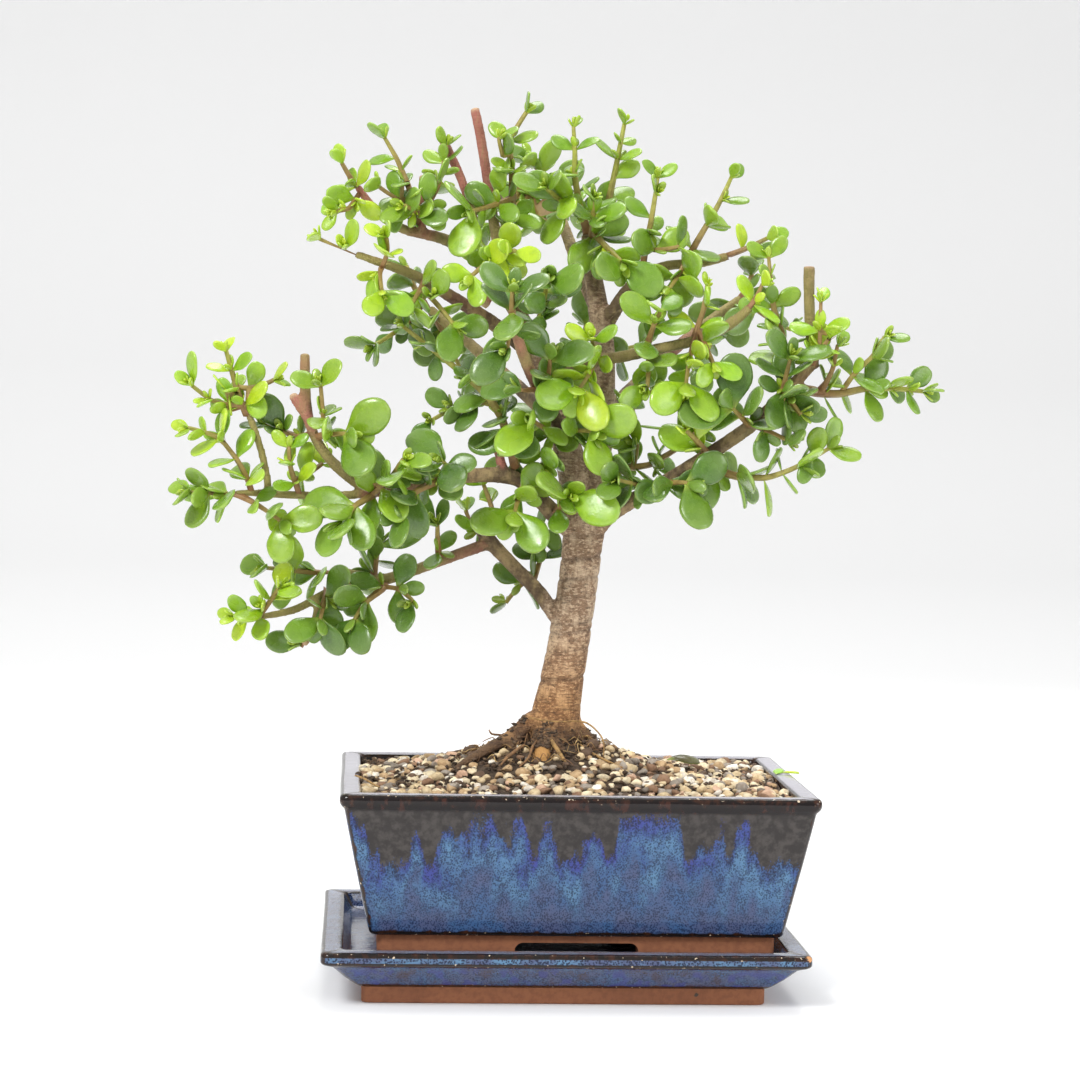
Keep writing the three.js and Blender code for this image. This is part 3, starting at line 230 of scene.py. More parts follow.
def between(value, low, high, to_low=0.0, to_high=1.0):
    """The value carried smoothly from one range to another and held inside it."""
    inputs = {0: value, 1: low, 2: high, 3: to_low, 4: to_high}
    return after("ShaderNodeMapRange", inputs, interpolation_type="SMOOTHSTEP").outputs[0]


def laid_over(under, over, value, low, high, most=1.0, within=None):
    """A colour laid over another: none of it where the value is low, and the most where it is high."""
    share = between(value, low, high, 0.0, most)
    return mix(times(share, within) if within else share, under, over)


def place_in_frame(tree):
    return add(tree, "ShaderNodeTexCoord").outputs["Object"]


def parts_of(vector):
    """The X, Y and Z of a place or a direction."""
    return after("ShaderNodeSeparateXYZ", {0: vector}).outputs


def stretched(place, scale):
    return after("ShaderNodeMapping", {"Vector": place, "Scale": scale}).outputs[0]


def cloud(place, scale, detail=2.0, roughness=0.5, stretch=None):
    """Soft random values, with the scale in waves for each metre."""
    vector = stretched(place, stretch) if stretch else place
    inputs = {"Vector": vector, "Scale": scale, "Detail": detail, "Roughness": roughness}
    return after("ShaderNodeTexNoise", inputs).outputs[0]


def dots(place, scale):
    """Distance from the nearest of many scattered points, in shares of their spacing."""
    return after("ShaderNodeTexVoronoi", {"Vector": place, "Scale": scale}).outputs["Distance"]


def marked(under, over, place, centre, reach):
    """One uneven mark of a colour round a point of the surface."""
    away = after("ShaderNodeVectorMath", {0: place, 1: centre}, operation="DISTANCE").outputs["Value"]
    uneven = plus(away, times(cloud(place, 900.0), reach))
    return laid_over(under, over, uneven, 1.4 * reach, 1.1 * reach)


def painted(tree, name, output):
    """What was painted on the mesh under a name, as its Color, Vector or Fac."""
    return add(tree, "ShaderNodeAttribute", attribute_name=name).outputs[output]


def bumped(height, strength, distance):
    inputs = {"Height": height, "Strength": strength, "Distance": distance}
    return after("ShaderNodeBump", inputs).outputs[0]


def new_group(name, inputs, inside):
    """A shader node group with named inputs, and the outputs that inside(given) makes of them."""
    group = bpy.data.node_groups.new(name, "ShaderNodeTree")
    for label, value in inputs.items():
        kind = "Float" if isinstance(value, float) else {3: "Vector", 4: "Color"}[len(value)]
        socket = group.interface.new_socket(label, in_out="INPUT", socket_type="NodeSocket" + kind)
        socket.default_value = value
    outputs = inside(add(group, "NodeGroupInput").outputs)
    for label in outputs:
        kind = "Color" if label == "Color" else "Float"
        group.interface.new_socket(label, in_out="OUTPUT", socket_type="NodeSocket" + kind)
    add(group, "NodeGroupOutput", outputs)
    return group


def use_group(group, inputs):
    return after("ShaderNodeGroup", inputs, node_tree=group).outputs


def grain_inside(given):
    """A fine unevenness of colour and surface, for clay, stones, bark and leaves."""
    coarse = cloud(given["Place"], given["Fineness"], 5.0, 0.62)
    colour = laid_over(given["Base"], given["Spots"], coarse, 0.40, 0.66, within=given["Amount"])
    return {"Color": colour, "Height": coarse}


def speckled_glaze_inside(given):
    """Blue that has curdled into fine light and dark specks, drifting in tone over the surface."""
    drift = cloud(given["Place"], 85.0, 4.0, 0.6)
    soft = laid_over(given["Middle"], given["Light"], drift, 0.35, 0.68)
    specks = dots(given["Place"], given["Fineness"])
    crowded = plus(specks, times(cloud(given["Place"], 260.0, 2.0), 0.55))
    return {"Color": laid_over(soft, given["Dark"], crowded, 0.86, 0.60, within=given["Darkness"])}


def broken_edge_inside(given):
    """Glaze that turns brown where it runs thin, with a painted lilac reflection and painted cream glints."""
    geometry = add(given["Glaze"].id_data, "ShaderNodeNewGeometry")
    facing = parts_of(geometry.outputs["Normal"])["Z"]
    # Painted reflection: glaze that faces up takes on pale lilac, as if it mirrored the white room
    reflected_glaze = laid_over(given["Glaze"], LILAC_REFLECTION, facing, 0.75, 0.98, within=given["Reflection_Share"])
    edge_noise = cloud(given["Place"], 260.0, 3.0)
    thin_share = plus(given["Thinness"], maths("SUBTRACT", edge_noise, 0.5))
    brown = laid_over(BLACK_GLAZE, BROWN_GLAZE, edge_noise, 0.42, 0.80)
    edge_share = between(thin_share, 0.30, 0.62)
    edged = mix(edge_share, reflected_glaze, brown)
    # Painted highlights: small cream glints scattered where the glaze runs thin at an edge
    glint_noise = cloud(given["Place"], 620.0, 1.0)
    return {"Color": laid_over(edged, CREAM_GLINT, glint_noise, 0.70, 0.76, within=edge_share)}


grain_inputs = {
    "Base": (0.5, 0.5, 0.5, 1), "Spots": (0.2, 0.2, 0.2, 1), "Place": (0, 0, 0),
    "Fineness": 300.0, "Amount": 0.5,
}
grain = new_group("grain", grain_inputs, grain_inside)
speckled_glaze_inputs = {
    "Light": PALE_BLUE_GLAZE, "Middle": BLUE_GLAZE, "Dark": NAVY_GLAZE, "Place": (0, 0, 0),
    "Fineness": 900.0, "Darkness": 0.5,
}
speckled_glaze = new_group("speckled_glaze", speckled_glaze_inputs, speckled_glaze_inside)
broken_edge_inputs = {"Glaze": BLUE_GLAZE, "Thinness": 0.0, "Reflection_Share": 0.4, "Place": (0, 0, 0)}
broken_edge = new_group("broken_edge", broken_edge_inputs, broken_edge_inside)


def grained(tree, base, spots, fineness, amount):
    """Colour and height of a grained surface."""
    place = place_in_frame(tree)
    inputs = {"Base": base, "Spots": spots, "Place": place, "Fineness": fineness, "Amount": amount}
    return use_group(grain, inputs)


def rough_surface(fineness, amount, roughness, relief, depth, base=None, spots=None, tint=None):
    """The surface(tree) of a dull grained material, with relief from the same grain.

    Without a base it takes the tone that is painted on each point. A tint makes its spots from that tone.
    """
    def surface(tree):
        tone = base or painted(tree, "tone", "Color")
        dark = spots or mix(1.0, tone, tint, "MULTIPLY")
        skin = grained(tree, tone, dark, fineness, amount)
        normal = bumped(skin["Height"], relief, depth)
        return {"Base Color": skin["Color"], "Roughness": roughness, "Normal": normal}

    return surface


clay_surface = rough_surface(
    fineness=420.0, amount=0.55, roughness=0.86, relief=0.35, depth=0.0005,
    base=TERRACOTTA, spots=TERRACOTTA_DARK,
)


def speckled(place, fineness, darkness, **tones):
    inputs = {"Place": place, "Fineness": fineness, "Darkness": darkness, **tones}
    return use_group(speckled_glaze, inputs)["Color"]


def glazed(tree, glaze, reflection_share, roughness, level, ripples, relief):
    """Shader inputs of a glaze that breaks at its edges, smooth and slightly rippled by the fire."""
    place = place_in_frame(tree)
    thinness = painted(tree, "thinness", "Fac")
    inputs = {"Glaze": glaze, "Thinness": thinness, "Reflection_Share": reflection_share, "Place": place}
    return {
        "Base Color": use_group(broken_edge, inputs)["Color"],
        "Roughness": roughness,
        "Specular IOR Level": level,
        "Normal": bumped(cloud(place, ripples), relief, 0.0006),
    }


def saucer_glaze_surface(tree):
    place = place_in_frame(tree)
    skirt_share = between(parts_of(place)["Z"], *SKIRT_TOP)
    band = speckled(place, 1250.0, 0.95, Middle=DUSKY_GLAZE)
    dusky = speckled(place, 1350.0, 0.8, Light=BLUE_GLAZE, Middle=DUSKY_GLAZE)
    skirt = mix(skirt_share, band, dusky)
    streaks = cloud(place, 150.0, 3.0, stretch=(1, 1, 0.3))
    mottled = laid_over(skirt, VIOLET_GLAZE, streaks, 0.46, 0.36, 0.6, skirt_share)
    smoky = laid_over(mottled, BROWN_GLAZE, streaks, 0.52, 0.68, 0.5, skirt_share)
    # The saucer's glaze takes 0.4 of the painted lilac reflection where it faces up
    surface = glazed(tree, smoky, reflection_share=0.4, roughness=0.13, level=0.40, ripples=330.0, relief=0.22)
    surface["Base Color"] = marked(surface["Base Color"], CHIP_ORANGE, place, CHIP_AT, CHIP_REACH)
    return surface


def terracotta_surface(tree):
    place = place_in_frame(tree)
    surface = clay_surface(tree)
    smudges = cloud(place, 42.0)
    smudged = laid_over(surface["Base Color"], TERRACOTTA_DARK, smudges, 0.45, 0.7, 0.4)
    surface["Base Color"] = marked(smudged, SPOT_GREY, place, SPOT_AT, SPOT_REACH)
    return surface


saucer_glaze = new_material("saucer_glaze", saucer_glaze_surface)
terracotta = new_material("terracotta", terracotta_surface)


def rounded_ring(half_x, half_y, height):
    """Points round a rectangle with round corners, with the share of the way into a corner for each."""
    arcs = []
    for quarter in range(4):
        centre_x = half_x - CORNER if quarter in (0, 3) else CORNER - half_x
        centre_y = half_y - CORNER if quarter < 2 else CORNER - half_y
        arc = []
        for step in range(CORNER_STEPS + 1):
            angle = (quarter + step / CORNER_STEPS) * math.pi / 2
            x = centre_x + CORNER * math.cos(angle)
            y = centre_y + CORNER * math.sin(angle)
            arc.append((x, y, height, 1 - abs(2 * step / CORNER_STEPS - 1)))
        arcs.append(arc)
    ring = []
    for quarter, arc in enumerate(arcs):
        start = arc[-1]
        end = arcs[(quarter + 1) % 4][0]
        ring += arc
        count = SIDE_COUNTS[quarter % 2]
        for step in range(1, count):
            x = start[0] + (end[0] - start[0]) * step / count
            y = start[1] + (end[1] - start[1]) * step / count
            ring.append((x, y, height, 0))
    return ring


LAYER_FIELDS = {"FLOAT": "value", "FLOAT_VECTOR": "vector", "FLOAT_COLOR": "color"}


def paint(piece, name, kind, values):
    """Gives each point of a piece a value, a vector or a colour, which its material reads by name."""
    layers = piece.data.color_attributes if kind == "FLOAT_COLOR" else piece.data.attributes
    layer = layers.new(name, kind, "POINT")
    layer.data.foreach_set(LAYER_FIELDS[kind], np.array(values, float).ravel())


def pottery(name, levels, half, offset, seed, materials):
    """A closed ceramic body lofted through its levels, with the slight unevenness of hand work."""
    points, thinness = [], []
    for height, inset, thin, bare in levels:
        for x, y, z, into_corner in rounded_ring(half[0] - inset, half[1] - inset, height):
            waves = Vector((x / WOBBLE_LENGTH, y / WOBBLE_LENGTH, z / WOBBLE_HEIGHT + seed))
            outward = Vector((x, y, 0)).normalized() * noise.noise(waves) * HAND_WOBBLE
            points.append(Vector((x + outward.x + offset, y + outward.y, z)) * MM)
            thinness.append(min(1, max(thin, 0 if bare else THIN_CORNER * into_corner)))
    bare_levels = [bare for _, _, _, bare in levels]
    count = len(points) // len(levels)
    faces, slots = [], []
    for level in range(len(levels) - 1):
        low = level * count
        for i in range(count):
            j = (i + 1) % count
            faces.append((low + i, low + count + i, low + count + j, low + j))
            slots.append(1 if bare_levels[level] and bare_levels[level + 1] else 0)
    faces.append(tuple(range(count)))
    faces.append(tuple(range(len(points) - 1, len(points) - 1 - count, -1)))
    slots += [bare_levels[0], bare_levels[-1]]
    piece = mesh_piece(name, points, faces, materials)
    piece.data.polygons.foreach_set("material_index", slots)
    paint(piece, "thinness", "FLOAT", thinness)
    return piece


saucer_materials = [saucer_glaze, terracotta]
saucer = pottery("glazed_saucer", SAUCER_LEVELS, SAUCER_HALF, 0, SAUCER_SEED, saucer_materials)
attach(saucer, "root")
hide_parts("saucer")

# Pot
# One box of the same clay, its sides leaning out to a thick rounded lip, on a bare foot with an arch in each
# side. Black glaze covers the top, and the blue over it has run down from jagged drips into fine specks.
POT_HALF = (100.0, 73.0)
POT_OFFSET = 5.0
POT_LEVELS = [
    (25.4, 45, 0, 1), (25.4, 29.0, 0, 1), (24.6, 28.5, 0, 1), (18.1, 28.5, 0, 1), (17.6, 27.9, 0, 1),
    (17.6, 17.1, 0, 1), (18.2, 16.5, 0, 1), (23.0, 16.5, 0, 1), (28.0, 16.5, 0, 1), (28.3, 15.6, 1, 1),
    (28.3, 14.9, 1, 0), (28.6, 14.0, 1, 0), (29.2, 13.4, 1, 0), (30.0, 13.1, 0.6, 0), (31.5, 12.7, 0.05, 0),
    (45.0, 9.8, 0, 0), (60.0, 6.6, 0, 0), (75.0, 3.5, 0, 0), (81.4, 2.2, 0, 0), (82.4, 1.9, 0.1, 0),
    (83.4, 1.0, 0.2, 0), (84.4, 0.35, 0.3, 0), (85.8, 0.0, 0.3, 0), (87.2, 0.1, 0.35, 0), (88.1, 0.5, 0.8, 0),
    (88.6, 1.1, 0.9, 0), (88.8, 2.0, 0.3, 0), (88.8, 4.5, 0, 0), (88.8, 7.0, 0, 0), (88.5, 8.3, 0.4, 0),
    (87.7, 8.9, 0.6, 0), (86.5, 9.1, 0.2, 0), (60.0, 14.5, 0, 0), (36.0, 19.2, 0, 0), (33.0, 21.2, 0, 0),
    (33.0, 45, 0, 0),
]
POT_SEED = 9.0
ARCH_HALF_LENGTHS = (26.0, 17.0)
ARCH_TOP = 25.2
ARCH_FLOOR = 10
ARCH_SHOULDER = 3.5
ARCH_STEPS = 5
SHARP_ANGLE = 55
DRIP_LOW, DRIP_HIGH = 0.0585, 0.0800
JAG_DEPTH = 0.011
GRIT_DEPTH = 0.0065
# How far under the drips' edge the blue begins, loses its violet and turns dusky
BLUE_EDGE = (-0.0014, 0.0022)
VIOLET_EDGE = (0.0020, 0.0140)
DUSKY_EDGE = (0.010, 0.028)
RILL_REACH = 0.013
LIP_EDGE = (0.0812, 0.0830)
ASH_GLAZE = (0.020, 0.016, 0.015, 1)
ASH_FLECK = (0.058, 0.050, 0.046, 1)
LIP_GLAZE = (0.006, 0.003, 0.003, 1)
LIP_STREAK = (0.050, 0.016, 0.010, 1)


def pot_glaze_surface(tree):
    place = place_in_frame(tree)
    height = parts_of(place)["Z"]
    place_fine = stretched(place, (1, 1, 0.8))
    drip_noise = cloud(place, 88.0, 1.5, 0.55, stretch=(1, 1, 0.06))
    drip_end = between(drip_noise, 0.38, 0.64, DRIP_LOW, DRIP_HIGH)
    jags = maths("SUBTRACT", cloud(place, 520.0, 3.0, 0.6, stretch=(1, 1, 0.14)), 0.5)
    grit = maths("SUBTRACT", dots(place_fine, 1300.0), 0.45)
    jagged = plus(drip_end, times(jags, JAG_DEPTH))
    ragged = plus(jagged, times(grit, GRIT_DEPTH))
    under = maths("SUBTRACT", ragged, height)
    violet = speckled(place_fine, 1250.0, 0.8, Light=BLUE_GLAZE, Middle=VIOLET_GLAZE)
    pale = speckled(place_fine, 1450.0, 0.8)
    dusky = speckled(place_fine, 1550.0, 0.75, Light=BLUE_GLAZE, Middle=DUSKY_GLAZE)
    lower = laid_over(pale, dusky, under, *DUSKY_EDGE)
    settled = laid_over(violet, lower, under, *VIOLET_EDGE)
    rill_noise = cloud(place, 620.0, 3.0, 0.65, stretch=(1, 1, 0.22))
    rill_share = between(under, RILL_REACH, 0.0, 0.0, 0.85)
    run_blue = laid_over(settled, NAVY_GLAZE, rill_noise, 0.50, 0.60, within=rill_share)
    ash = grained(tree, ASH_GLAZE, ASH_FLECK, fineness=240.0, amount=0.8)["Color"]
    body = laid_over(ash, run_blue, under, *BLUE_EDGE)
    streaks = cloud(place, 210.0, 3.0, stretch=(1, 1, 0.35))
    lip = laid_over(LIP_GLAZE, LIP_STREAK, streaks, 0.52, 0.66, 0.8)
    lipped = laid_over(body, lip, height, *LIP_EDGE)
    # The pot's glaze takes almost all of the painted lilac reflection where it faces up
    return glazed(tree, lipped, reflection_share=0.95, roughness=0.12, level=0.36, ripples=240.0, relief=0.2)


pot_materials = [new_material("pot_glaze", pot_glaze_surface), terracotta]
pot = pottery("glazed_pot", POT_LEVELS, POT_HALF, POT_OFFSET, POT_SEED, pot_materials)


def applied(piece):
    """Makes a piece's modifiers part of its mesh."""
    graph = bpy.context.evaluated_depsgraph_get()
    evaluated = piece.evaluated_get(graph)
    mesh = bpy.data.meshes.new_from_object(evaluated, preserve_all_data_layers=True, depsgraph=graph)
    piece.modifiers.clear()
    piece.data = mesh


def arch_cutter(half_length, half_depth, lengthwise):
    """A long block with round upper shoulders, which cuts one pair of arches right through the foot."""
    side = [(half_length, ARCH_FLOOR)]
    for step in range(ARCH_STEPS + 1):
        angle = math.pi / 2 * step / ARCH_STEPS
        along = half_length - ARCH_SHOULDER + ARCH_SHOULDER * math.cos(angle)
        side.append((along, ARCH_TOP - ARCH_SHOULDER + ARCH_SHOULDER * math.sin(angle)))
    outline = side + [(-along, height) for along, height in reversed(side)]
    points = []
    for depth in (-half_depth, half_depth):
        for along, height in outline:
            x, y = (along, depth) if lengthwise else (depth, along)
            points.append(Vector((x + POT_OFFSET, y, height)) * MM)
    count = len(outline)
    faces = [tuple(range(count)), tuple(range(2 * count - 1, count - 1, -1))]
    faces += [(i, count + i, count + (i + 1) % count, (i + 1) % count) for i in range(count)]
    block = mesh_piece("arch", points, faces, [terracotta])
    outward = bmesh.new()
    outward.from_mesh(block.data)
    bmesh.ops.recalc_face_normals(outward, faces=outward.faces)
    outward.to_mesh(block.data)
    outward.free()
    return block


arches = [(ARCH_HALF_LENGTHS[0], POT_HALF[1], True), (ARCH_HALF_LENGTHS[1], POT_HALF[0], False)]
for half_length, half_depth, lengthwise in arches:
    cutter = arch_cutter(half_length, half_depth, lengthwise)
    adjusted(pot.modifiers.new("arch", "BOOLEAN"), operation="DIFFERENCE", solver="EXACT", object=cutter)
    applied(pot)
    bpy.data.objects.remove(cutter)
pot.data.set_sharp_from_angle(angle=math.radians(SHARP_ANGLE))
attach(pot, "root")
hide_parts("pot")

# Drainage mesh
# A strip of black plastic netting, cut from a sheet and laid on the pot's floor over both drainage holes. It
# keeps the gravel in and lets water out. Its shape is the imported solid's.
NETTING_BLACK = (0.012, 0.013, 0.012, 1)
NETTING_DUSTY = (0.030, 0.030, 0.028, 1)


def only_material(mesh, material):
    mesh.materials.clear()
    mesh.materials.append(material)


netting_surface = rough_surface(
    fineness=900.0, amount=0.6, roughness=0.6, relief=0.2, depth=0.0003,
    base=NETTING_BLACK, spots=NETTING_DUSTY,
)
only_material(frame["nodes"]["drainage_mesh"].data, new_material("netting", netting_surface))

# Soil
# Dark, damp humus, which fills the pot and is heaped to the trunk by hand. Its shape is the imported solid's,
# and pebbles and crumbs lie all over it.
HUMUS = (0.052, 0.032, 0.020, 1)
HUMUS_DRY = (0.130, 0.090, 0.060, 1)

humus_surface = rough_surface(
    fineness=380.0, amount=0.8, roughness=0.95, relief=0.9, depth=0.002, base=HUMUS, spots=HUMUS_DRY,
)
only_material(frame["nodes"]["soil"].data, new_material("humus", humus_surface))

# Pebbles
# Washed gravel of three to six millimetres in cream, tan, brown and grey, some rounded and some chipped,
# poured over the humus and pressed a little into it, with dark crumbs of humus between and round the trunk.
TRUNK_FOOT = (-5, 0)
SOIL_MARGIN = 10.5
ABOVE_SOIL = 130
ABOVE_ROOTS = 135
WOOD_COVER = 0.004
PEBBLE_SEED = 5
PEBBLE_GRID = 3.1
PEBBLE_SHAKE = 0.6
PEBBLE_HALF = 2.05
PEBBLE_SPREAD = 0.34
PEBBLE_LEAST, PEBBLE_MOST = 1.1, 3.7
PEBBLE_RISE = (0.05, 0.55)
PEBBLE_CUTS = (4, 10)
PEBBLE_LUMPS = 0.06
# In shares of a stone's radius: its flat faces' distance from the middle, and its narrow and low sides
FACES_AT = (0.40, 0.82)
NARROW_SIDE = (0.7, 1)
LOW_SIDE = 0.72
SHADES = (0.82, 1.12)
CRUMB_GRID = 3.6
CRUMB_SHAKE = 0.7
CRUMB_CHANCE = 0.40
CRUMB_HALF = (0.5, 1.5)
CRUMB_ASIDE = 1.4
CRUMB_RISE = (0.0, 1.5)
CRUMB_CUTS = 3
CRUMB_LUMPS = 0.3
CRUMBS_NEAR_FOOT, CRUMBS_ELSEWHERE = 5, 2
NEAR_FOOT = 24
# Crumbs that cling to the roots, fewer with each millimetre above the soil
ROOT_CRUMBS = 5000
ROOT_CRUMB_REACH = (4, 27)
ROOT_CRUMB_HALF = (0.5, 1.3)
ROOT_CRUMB_CHANCE = 1.3
CLING_FROM, CLING_HEIGHT = 96, 15
CLING_LIFT = 0.4
ROOT_KNOB = (-9.4, -24, 98.7)
KNOB_REACH = 5.5
# Place, reach and strength of each patch of bare humus, in millimetres, the first round the trunk
HUMUS_PATCHES = [(-5, 0, 20, 1.3), (-78, 42, 17, 0.8), (44, 14, 12, 0.6), (-60, -38, 9, 0.4)]
HUMUS_LEAST, HUMUS_MOST = 0.17, 0.96
HUMUS_DRIFT = 0.9
HUMUS_WAVES = 55
PEBBLE_TONES = [
    (0.84, 0.72, 0.50), (0.72, 0.57, 0.35), (0.52, 0.36, 0.20), (0.29, 0.17, 0.10), (0.13, 0.08, 0.05),
    (0.37, 0.32, 0.27), (0.25, 0.21, 0.17), (0.90, 0.84, 0.73), (0.64, 0.42, 0.29),
]
TONE_WEIGHTS = [9, 7, 5, 4, 2, 3, 2, 4, 2]
CRUMB_TONES = [(0.060, 0.036, 0.022), (0.100, 0.060, 0.035), (0.170, 0.105, 0.060), (0.040, 0.026, 0.017)]
STONE_DIRT = (0.55, 0.45, 0.36, 1)


def surface_of(mesh):
    """A tree for finding places on a mesh."""
    return BVHTree.FromPolygons([v.co for v in mesh.vertices], [tuple(p.vertices) for p in mesh.polygons])


soil_surface = surface_of(frame["nodes"]["soil"].data)
wood_surface = surface_of(frame["nodes"]["trunk_and_limbs"].data)


def dropped(surface, x, y, height):
    """Where something let fall from a place in millimetres lands on a surface, or None."""
    return surface.ray_cast(Vector((x, y, height)) * MM, Vector((0, 0, -1)))[0]


def sphere_mesh(divisions):
    ball = bmesh.new()
    bmesh.ops.create_icosphere(ball, subdivisions=divisions, radius=1)
    ball.verts.ensure_lookup_table()
    points = np.array([v.co for v in ball.verts])
    faces = np.array([[v.index for v in f.verts] for f in ball.faces])
    ball.free()
    return points, faces


def turned(points, rng):
    """The points turned round a random axis."""
    turn = Vector(rng.normal(size=3)).normalized()
    return points @ np.array(Matrix.Rotation(rng.uniform(0, 2 * math.pi), 3, turn))


def chipped(points, rng, cuts, lumps):
    """A ball made uneven and cut by a few flat faces."""
    stone = points * (1 + lumps * rng.normal(size=(len(points), 1)))
    for _ in range(cuts):
        across = rng.normal(size=3)
        across /= np.linalg.norm(across)
        reach = stone @ across
        stone = stone - np.outer(np.maximum(reach - rng.uniform(*FACES_AT), 0), across)
    return stone


def scattered_stones(name, places, ball, material):
    """Stones at places, given as (centre, half size, cuts, lumps, tone), in one mesh."""
    rng = np.random.default_rng(len(places))
    ball_points, ball_faces = ball
    points, faces, tones = [], [], []
    for centre, size, cuts, lumps, tone in places:
        stone = chipped(ball_points, rng, cuts, lumps) * np.array((1, rng.uniform(*NARROW_SIDE), 1))
        stone = turned(stone, rng) * np.array((size, size, size * LOW_SIDE)) + np.array(centre)
        faces.append(ball_faces + len(points) * len(ball_points))
        points.append(stone)
        shade = rng.uniform(*SHADES)
        tones += [(*(min(1, channel * shade) for channel in tone), 1)] * len(ball_points)
    piece = mesh_piece(name, np.concatenate(points), np.concatenate(faces), [material])
    paint(piece, "tone", "FLOAT_COLOR", tones)
    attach(piece, "root")


def soil_places(step, rng, shake):
    """Places on a shaken grid over the soil inside the pot's walls, where no root lies over it."""
    half_x = POT_HALF[0] - SOIL_MARGIN
    half_y = POT_HALF[1] - SOIL_MARGIN
    for x in np.arange(-half_x, half_x, step):
        for y in np.arange(-half_y, half_y, step):
            at_x = np.clip(x + rng.uniform(-shake, shake) * step, -half_x, half_x) + POT_OFFSET
            at_y = np.clip(y + rng.uniform(-shake, shake) * step, -half_y, half_y)
            hit = dropped(soil_surface, at_x, at_y, ABOVE_SOIL)
            root = dropped(wood_surface, at_x, at_y, ABOVE_SOIL)
            if hit and not (root and root.z > hit.z + WOOD_COVER):
                yield hit


def humus_share(place):
    """How much of the surface is bare humus: a little everywhere, and more in its patches."""
    share = HUMUS_LEAST + HUMUS_DRIFT * max(noise.noise(place * HUMUS_WAVES), 0)
    for x, y, reach, strength in HUMUS_PATCHES:
        away = math.hypot(place.x / MM - x, place.y / MM - y)
        share += strength * math.exp(-((away / reach) ** 2))
    return min(share, HUMUS_MOST)


def from_knob(place):
    """How far a place is from the bare knob of root in front."""
    return (place / MM - Vector(ROOT_KNOB)).length


def crumb(place, size, rng):
    return place, size, CRUMB_CUTS, CRUMB_LUMPS, CRUMB_TONES[rng.integers(len(CRUMB_TONES))]


rng = np.random.default_rng(PEBBLE_SEED)
pebbles, crumbs = [], []
for hit in soil_places(PEBBLE_GRID, rng, PEBBLE_SHAKE):
    if rng.random() < humus_share(hit):
        continue
    half = np.clip(rng.lognormal(math.log(PEBBLE_HALF), PEBBLE_SPREAD), PEBBLE_LEAST, PEBBLE_MOST)
    size = float(half) * MM
    tone = PEBBLE_TONES[rng.choice(len(PEBBLE_TONES), p=np.array(TONE_WEIGHTS) / sum(TONE_WEIGHTS))]
    rise = Vector((0, 0, size * rng.uniform(*PEBBLE_RISE)))
    pebbles.append((hit + rise, size, int(rng.integers(*PEBBLE_CUTS)), PEBBLE_LUMPS, tone))
for hit in soil_places(CRUMB_GRID, rng, CRUMB_SHAKE):
    from_foot = math.hypot(hit.x / MM - TRUNK_FOOT[0], hit.y / MM - TRUNK_FOOT[1])
    most = CRUMBS_NEAR_FOOT if from_foot < NEAR_FOOT else CRUMBS_ELSEWHERE
    for _ in range(0 if from_knob(hit) < KNOB_REACH + 2 else most):
        if rng.random() < CRUMB_CHANCE + humus_share(hit):
            size = float(rng.uniform(*CRUMB_HALF)) * MM
            aside = (rng.normal() * CRUMB_ASIDE, rng.normal() * CRUMB_ASIDE, rng.uniform(*CRUMB_RISE))
            crumbs.append(crumb(hit + Vector(aside) * MM, size, rng))
for _ in range(ROOT_CRUMBS):
    turn = rng.uniform(0, 2 * math.pi)
    away = rng.uniform(*ROOT_CRUMB_REACH)
    x = TRUNK_FOOT[0] + away * math.cos(turn)
    y = TRUNK_FOOT[1] + away * math.sin(turn)
    hit = dropped(wood_surface, x, y, ABOVE_ROOTS)
    if not hit or from_knob(hit) < KNOB_REACH:
        continue
    if rng.random() < ROOT_CRUMB_CHANCE - (hit.z / MM - CLING_FROM) / CLING_HEIGHT:
        size = float(rng.uniform(*ROOT_CRUMB_HALF)) * MM
        crumbs.append(crumb(hit + Vector((0, 0, size * CLING_LIFT)), size, rng))

stone_surface = rough_surface(
    fineness=520.0, amount=0.6, roughness=0.82, relief=0.5, depth=0.0006, tint=STONE_DIRT,
)
crumb_surface = rough_surface(
    fineness=900.0, amount=0.5, roughness=0.95, relief=0.7, depth=0.0008, spots=HUMUS_DRY,
)
scattered_stones("pebbles", pebbles, sphere_mesh(2), new_material("gravel", stone_surface))
scattered_stones("crumbs_of_humus", crumbs, sphere_mesh(1), new_material("humus_crumbs", crumb_surface))

# Trunk and limbs
# Grew as one piece: a grey-brown trunk ringed with old leaf scars, roots at its foot, and limbs that end in
# leafy shoots or in pale cuts where they were pruned.
WELD = 2e-6
FLAT_ANGLE = 2
BARK_VOXEL = 0.85
BARK_SWELL = 0.42
# Height and depth of each ring of scars
RING_SCARS = [
    (118, 0.25), (131, 0.5), (143, 0.2), (151, 0.45), (155, 0.35), (166, 0.25), (174, 0.5), (183, 0.5),
    (193, 0.3), (202, 0.4),
]
RING_WIDTH = 0.9
TRUNK_LEAN = 0.12
TRUNK_TOP, TRUNK_TOP_FADE = 206, 6
TRUNK_REACH, TRUNK_REACH_FADE = 16, 4
ROOT_TOP, ROOT_TOP_FADE = 120, 4
KNOB_FADE = 1.5
TRUNK_LINE_HEIGHTS = [82, 112, 134, 151, 167, 184, 206]
TRUNK_LINE_X = [-5, -3, 2, 4, 7, 8, 8]
CUT_ENDS = [
    (-118, -28, 252), (-30, -14, 231), (-112, 0, 144), (101, -26, 311), (106, -25, 258),
    (-64, -8, 347), (-57, 2, 366), (-37, -16, 292), (-42, 8, 378),
]
CUT_REACH = 2.6
CUT_ANGLE = 58
START_INSIDE = 0.2
